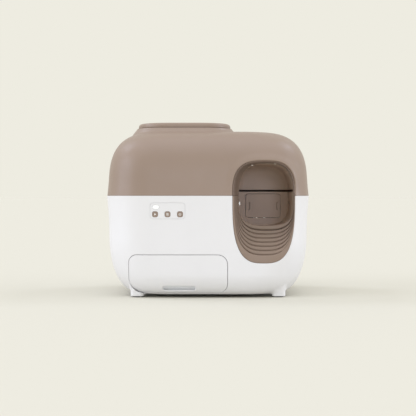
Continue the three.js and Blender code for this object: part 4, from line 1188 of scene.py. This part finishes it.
def foot(name, sx, sy, beside_drawer):
    """A squat foot whose sides sweep out into the rounded corner of the housing."""
    skin = Skin()
    base = resample(rounded(-FOOT_HALF, -FOOT_HALF, FOOT_HALF, FOOT_HALF, [11] * 4, 10), 1.0)
    base = base[np.linspace(0, len(base), 96, endpoint=False).astype(int)]
    out = unit(base)
    centre = np.array([FOOT_X * sx, FOOT_Y * sy])
    rows = []
    steps = [-1.3, -0.7, -0.2, 0, 0, 0, 0, 0, 0, 0, 0, 0, 0, 0]
    lifts = [3.0, 3.15, 3.6, 4.6]
    sweep = np.concatenate([[0] * 4, np.linspace(0.08, 1.0, 10)])
    flare = np.zeros(len(base))
    top_z = np.zeros(len(base))
    for reach in np.linspace(0, FOOT_FLARE, FOOT_FLARE + 1):
        top_at = centre + base + out * reach
        height = underside(top_at[:, 0], top_at[:, 1]) + 1.5
        fits = np.full(len(base), True)
        if beside_drawer:
            fits = height < below_drawer(top_at[:, 0]) - 1.0
        fits |= reach == 0
        flare[fits], top_z[fits] = reach, height[fits]
    for k, f in enumerate(sweep):
        low = lifts[min(k, 3)]
        z = low + (top_z - low) * (f if k > 3 else 0)
        ring = centre + base + out * (flare * f ** 2.6 + steps[k])[:, None]
        if beside_drawer:
            z = np.minimum(z, below_drawer(ring[:, 0]))
        rows.append(np.column_stack([ring, np.broadcast_to(z, len(ring))]))
    rows = np.array(rows)
    normals = smooth_normals(rows, closed=True)
    if np.sum(normals[..., :2] * out[None]) < 0:
        normals = -normals
    skin.grid(rows, normals, True)
    skin.cap(rows[0], (0, 0, -1.0))
    skin.cap(rows[-1], (0, 0, 1.0))
    return skin.make(name)


TREAD = [(0.0, 11.0, -1, 0), (0.0, 13.2, -1, 0), (0.25, 14.0, -.7, .7), (0.9, 14.5, 0, 1),
         (2.2, 14.5, 0, 1), (2.7, 14.0, .7, .7)]
CORNERS = {"front_left": (-1, -1), "front_right": (1, -1), "rear_left": (-1, 1), "rear_right": (1, 1)}
for key, (sx, sy) in CORNERS.items():
    leg = foot("foot_" + key + "_flared", sx, sy, key == "front_left")
    finish_piece(leg, "base", "white", "foot_" + key, slot="housing_white")
    skin = Skin()
    lathe(skin, TREAD, (FOOT_X * sx, FOOT_Y * sy, 0), (0, 0, 1))
    pad = "foot_pad_" + key
    finish_piece(skin.make(pad + "_tread"), "base", "rubber", pad, slot="black_rubber")


CARTRIDGE_FRONT, CARTRIDGE_STEP, CARTRIDGE_BACK = 74.0, 78.0, 108.0
GRIP_DEPTH = 12.0


def cartridge():
    """The cover plate with its two grips, and the plain block behind it."""
    skin = Skin()
    loop = resample(rounded(123.4, 233.9, 235.6, 310.6, [7.6] * 4), 3.0)
    out = away_from(loop)
    rows, norms = [], []
    for phi in ROUND[::-1]:
        ring = loop - out * (0.9 * (1 - math.sin(phi)))
        rows.append(at_y(ring, CARTRIDGE_FRONT + 0.9 * (1 - math.cos(phi))))
        norms.append(upright(out * math.sin(phi)) - (0, math.cos(phi), 0))
    rows.insert(0, at_y(loop, CARTRIDGE_STEP))
    norms.insert(0, norms[0])
    skin.grid(np.array(rows), np.array(norms), True)
    grips = [bracket(1) + (134.0, 272.0), bracket(-1) + (225.0, 272.0)]
    spread = [(x, z) for x in range(126, 236, 7) for z in range(238, 310, 7)]
    uv, triangles = fill(rows[-1][:, [0, 2]], grips, spread, 1.0)
    skin.triangles(at_y(uv, CARTRIDGE_FRONT), (0, -1, 0), triangles)
    for grip in grips:
        wall = np.array([at_y(grip, y) for y in (CARTRIDGE_FRONT, CARTRIDGE_FRONT + GRIP_DEPTH)])
        skin.grid(wall, np.array([upright(-away_from(grip))] * 2), True)
        uv, triangles = fill(grip, [], [], 0.5)
        skin.triangles(at_y(uv, CARTRIDGE_FRONT + GRIP_DEPTH), (0, -1, 0), triangles)
    block = rounded(127, 238, 232, 306.5, [5] * 4, 6)
    wall = np.array([at_y(block, y) for y in (CARTRIDGE_STEP, CARTRIDGE_BACK)])
    skin.grid(wall, np.array([upright(away_from(block))] * 2), True)
    skin.cap(wall[1], (0, 1.0, 0))
    uv, triangles = fill(loop, [block], [], 1.0)
    skin.triangles(at_y(uv, CARTRIDGE_STEP), (0, 1, 0), triangles)
    return skin.make("deodoriser_cartridge_cover")


def bracket(side):
    """A finger grip: a groove that runs round three sides of a narrow upright rectangle."""
    w, h, t = 3.6, 13.0, 2.7
    shape = [(-w, -h), (w, -h), (w, h), (-w, h), (-w, h - t), (w - t, h - t), (w - t, -h + t), (-w, -h + t)]
    points = np.array([(x * side, z) for x, z in shape])[::side]
    return resample(points, 1.0)


finish_piece(cartridge(), "cartridge", "dark", "deodoriser_cartridge", slot="passage_taupe")


def dome(skin, centre, direction, radius, height):
    profile = [(0.0, radius, 0, 1), (height * 0.35, radius, 0.1, 1)]
    for a in np.radians([20, 40, 60, 78, 90]):
        profile.append((height * (0.35 + 0.65 * math.sin(a)), radius * math.cos(a), math.sin(a), math.cos(a)))
    lathe(skin, profile, centre, direction, 24)


for key, x in (("left", 133.0), ("right", 203.0)):
    ceiling = INNER["z"] + INNER["up"] * (1 - (abs(x - INNER["x"]) / INNER["half"]) ** 3) ** (1 / 3)
    skin = Skin()
    dome(skin, (x, -182.0, ceiling + 2.6), (0, 0, -1), 3.4, 5.2)
    eye = "presence_sensor_" + key
    finish_piece(skin.make(eye + "_dome"), "hood", "window", eye, slot="sensor_lens")

skin = Skin()
ring = resample(rounded(-182.4, 275.5, -176.6, 287.3, [2.9] * 4, 10), 0.8)
away = away_from(ring)
rows, norms = [], []
lens_profile = ((0, 94.0, 1, 0), (0, 95.6, 1, 0), (0.3, 96.5, .8, .5),
                (0.9, 97.2, .45, .85), (1.8, 97.5, .1, 1))
for inset, x, out, up in lens_profile:
    path = ring - away * inset
    rows.append(np.column_stack([np.full(len(ring), x), path]))
    norms.append(np.column_stack([np.full(len(ring), up), away * out]))
skin.grid(np.array(rows), np.array(norms), True)
skin.cap(rows[-1], (1.0, 0, 0))
skin.cap(rows[0], (-1.0, 0, 0))
finish_piece(skin.make("jamb_sensor_lens"), "base", "lens", "jamb_sensor", slot="light_lens")


# ------------------------------------------------------------ the pieces inside keep their CAD shape

SLOT_MATERIALS = {"housing_white": "white", "light_grey_plastic": "grey", "charcoal_plastic": "charcoal",
                  "black_rubber": "rubber", "steel": "steel", "circuit_board": "board",
                  "hood_taupe": "taupe", "passage_taupe": "dark", "steps_taupe": "step",
                  "sensor_lens": "window", "light_lens": "lens",
                  "drawer_white": "white", "control_panel_white": "white", "button_taupe": "button"}
for part in frame["record"]["subparts"]:
    node = frame["nodes"][part["node"]]
    if part["node"] in stood_for:
        continue
    node.data.materials.clear()
    node.data.materials.append(MATS[SLOT_MATERIALS[part["material_slot"]]])
    node.data.shade_smooth()
    node.data.set_sharp_from_angle(angle=math.radians(32))
    edge = node.modifiers.new("edge", "BEVEL")
    edge.width = 0.0005
    edge.segments = 2
    edge.limit_method = "ANGLE"
    edge.angle_limit = math.radians(40)
    edge.harden_normals = True
    edge.use_clamp_overlap = True


# ------------------------------------------------------------ floor, light and camera

BACKGROUND = linear(238, 236, 225)


def plain_floor():
    mesh = bpy.data.meshes.new("floor")
    mesh.from_pydata([(-90, -20, 0), (90, -20, 0), (90, 170, 0), (-90, 170, 0)], [], [(0, 1, 2, 3)])
    floor = bpy.data.objects.new("floor", mesh)
    bpy.context.scene.collection.objects.link(floor)
    paper = make_material("floor_paper", FLOOR_COLOUR, 0.95, 0.0, 0.001, 0.0, 0.0)
    paper.node_tree.nodes["Principled BSDF"].inputs["Specular IOR Level"].default_value = 0.0
    mesh.materials.append(paper)


def sun(name, direction, strength, angle, colour=(1, 1, 1)):
    """A soft, very distant lamp that shines from the given direction."""
    lamp = bpy.data.lights.new(name, "SUN")
    lamp.energy = strength
    lamp.angle = math.radians(angle)
    lamp.color = colour
    obj = bpy.data.objects.new(name, lamp)
    obj.rotation_euler = Vector(direction).to_track_quat("Z", "Y").to_euler()
    bpy.context.scene.collection.objects.link(obj)


def studio():
    scene = bpy.context.scene
    world = bpy.data.worlds.new("studio")
    world.use_nodes = True
    world.node_tree.nodes["Background"].inputs["Color"].default_value = (*BACKGROUND[:3], 1)
    world.node_tree.nodes["Background"].inputs["Strength"].default_value = 1.0
    scene.world = world
    for name, direction, strength, angle in SUNS:
        sun(name, direction, strength, angle, COOL)
    camera = bpy.data.cameras.new("camera")
    camera.lens = 93.5
    camera.sensor_width = 36
    camera.clip_end = 400
    obj = bpy.data.objects.new("camera", camera)
    obj.location = (0.0, -3.455, 0.305)
    obj.rotation_euler = (math.radians(90 - 0.65), 0, 0)
    scene.collection.objects.link(obj)
    scene.camera = obj
    scene.view_settings.view_transform = "Standard"
    scene.view_settings.look = "None"


FLOOR_COLOUR = (0.627, 0.6065, 0.53)
COOL = (0.9, 0.96, 1.18)
SUNS = (("front", (0.1, -1, 0.08), 0.3, 12), ("left", (-1, -0.35, 0.3), 1.15, 45),
        ("right", (1, -0.35, 0.35), 0.42, 45), ("right_strip", (0.95, -0.02, 0.14), 0.4, 12),
        ("left_back", (-0.62, 0.3, 0.72), 0.5, 20), ("right_back", (0.62, 0.3, 0.72), 0.4, 20),
        ("top", (0, -0.25, 1), 0.62, 60))
plain_floor()
studio()
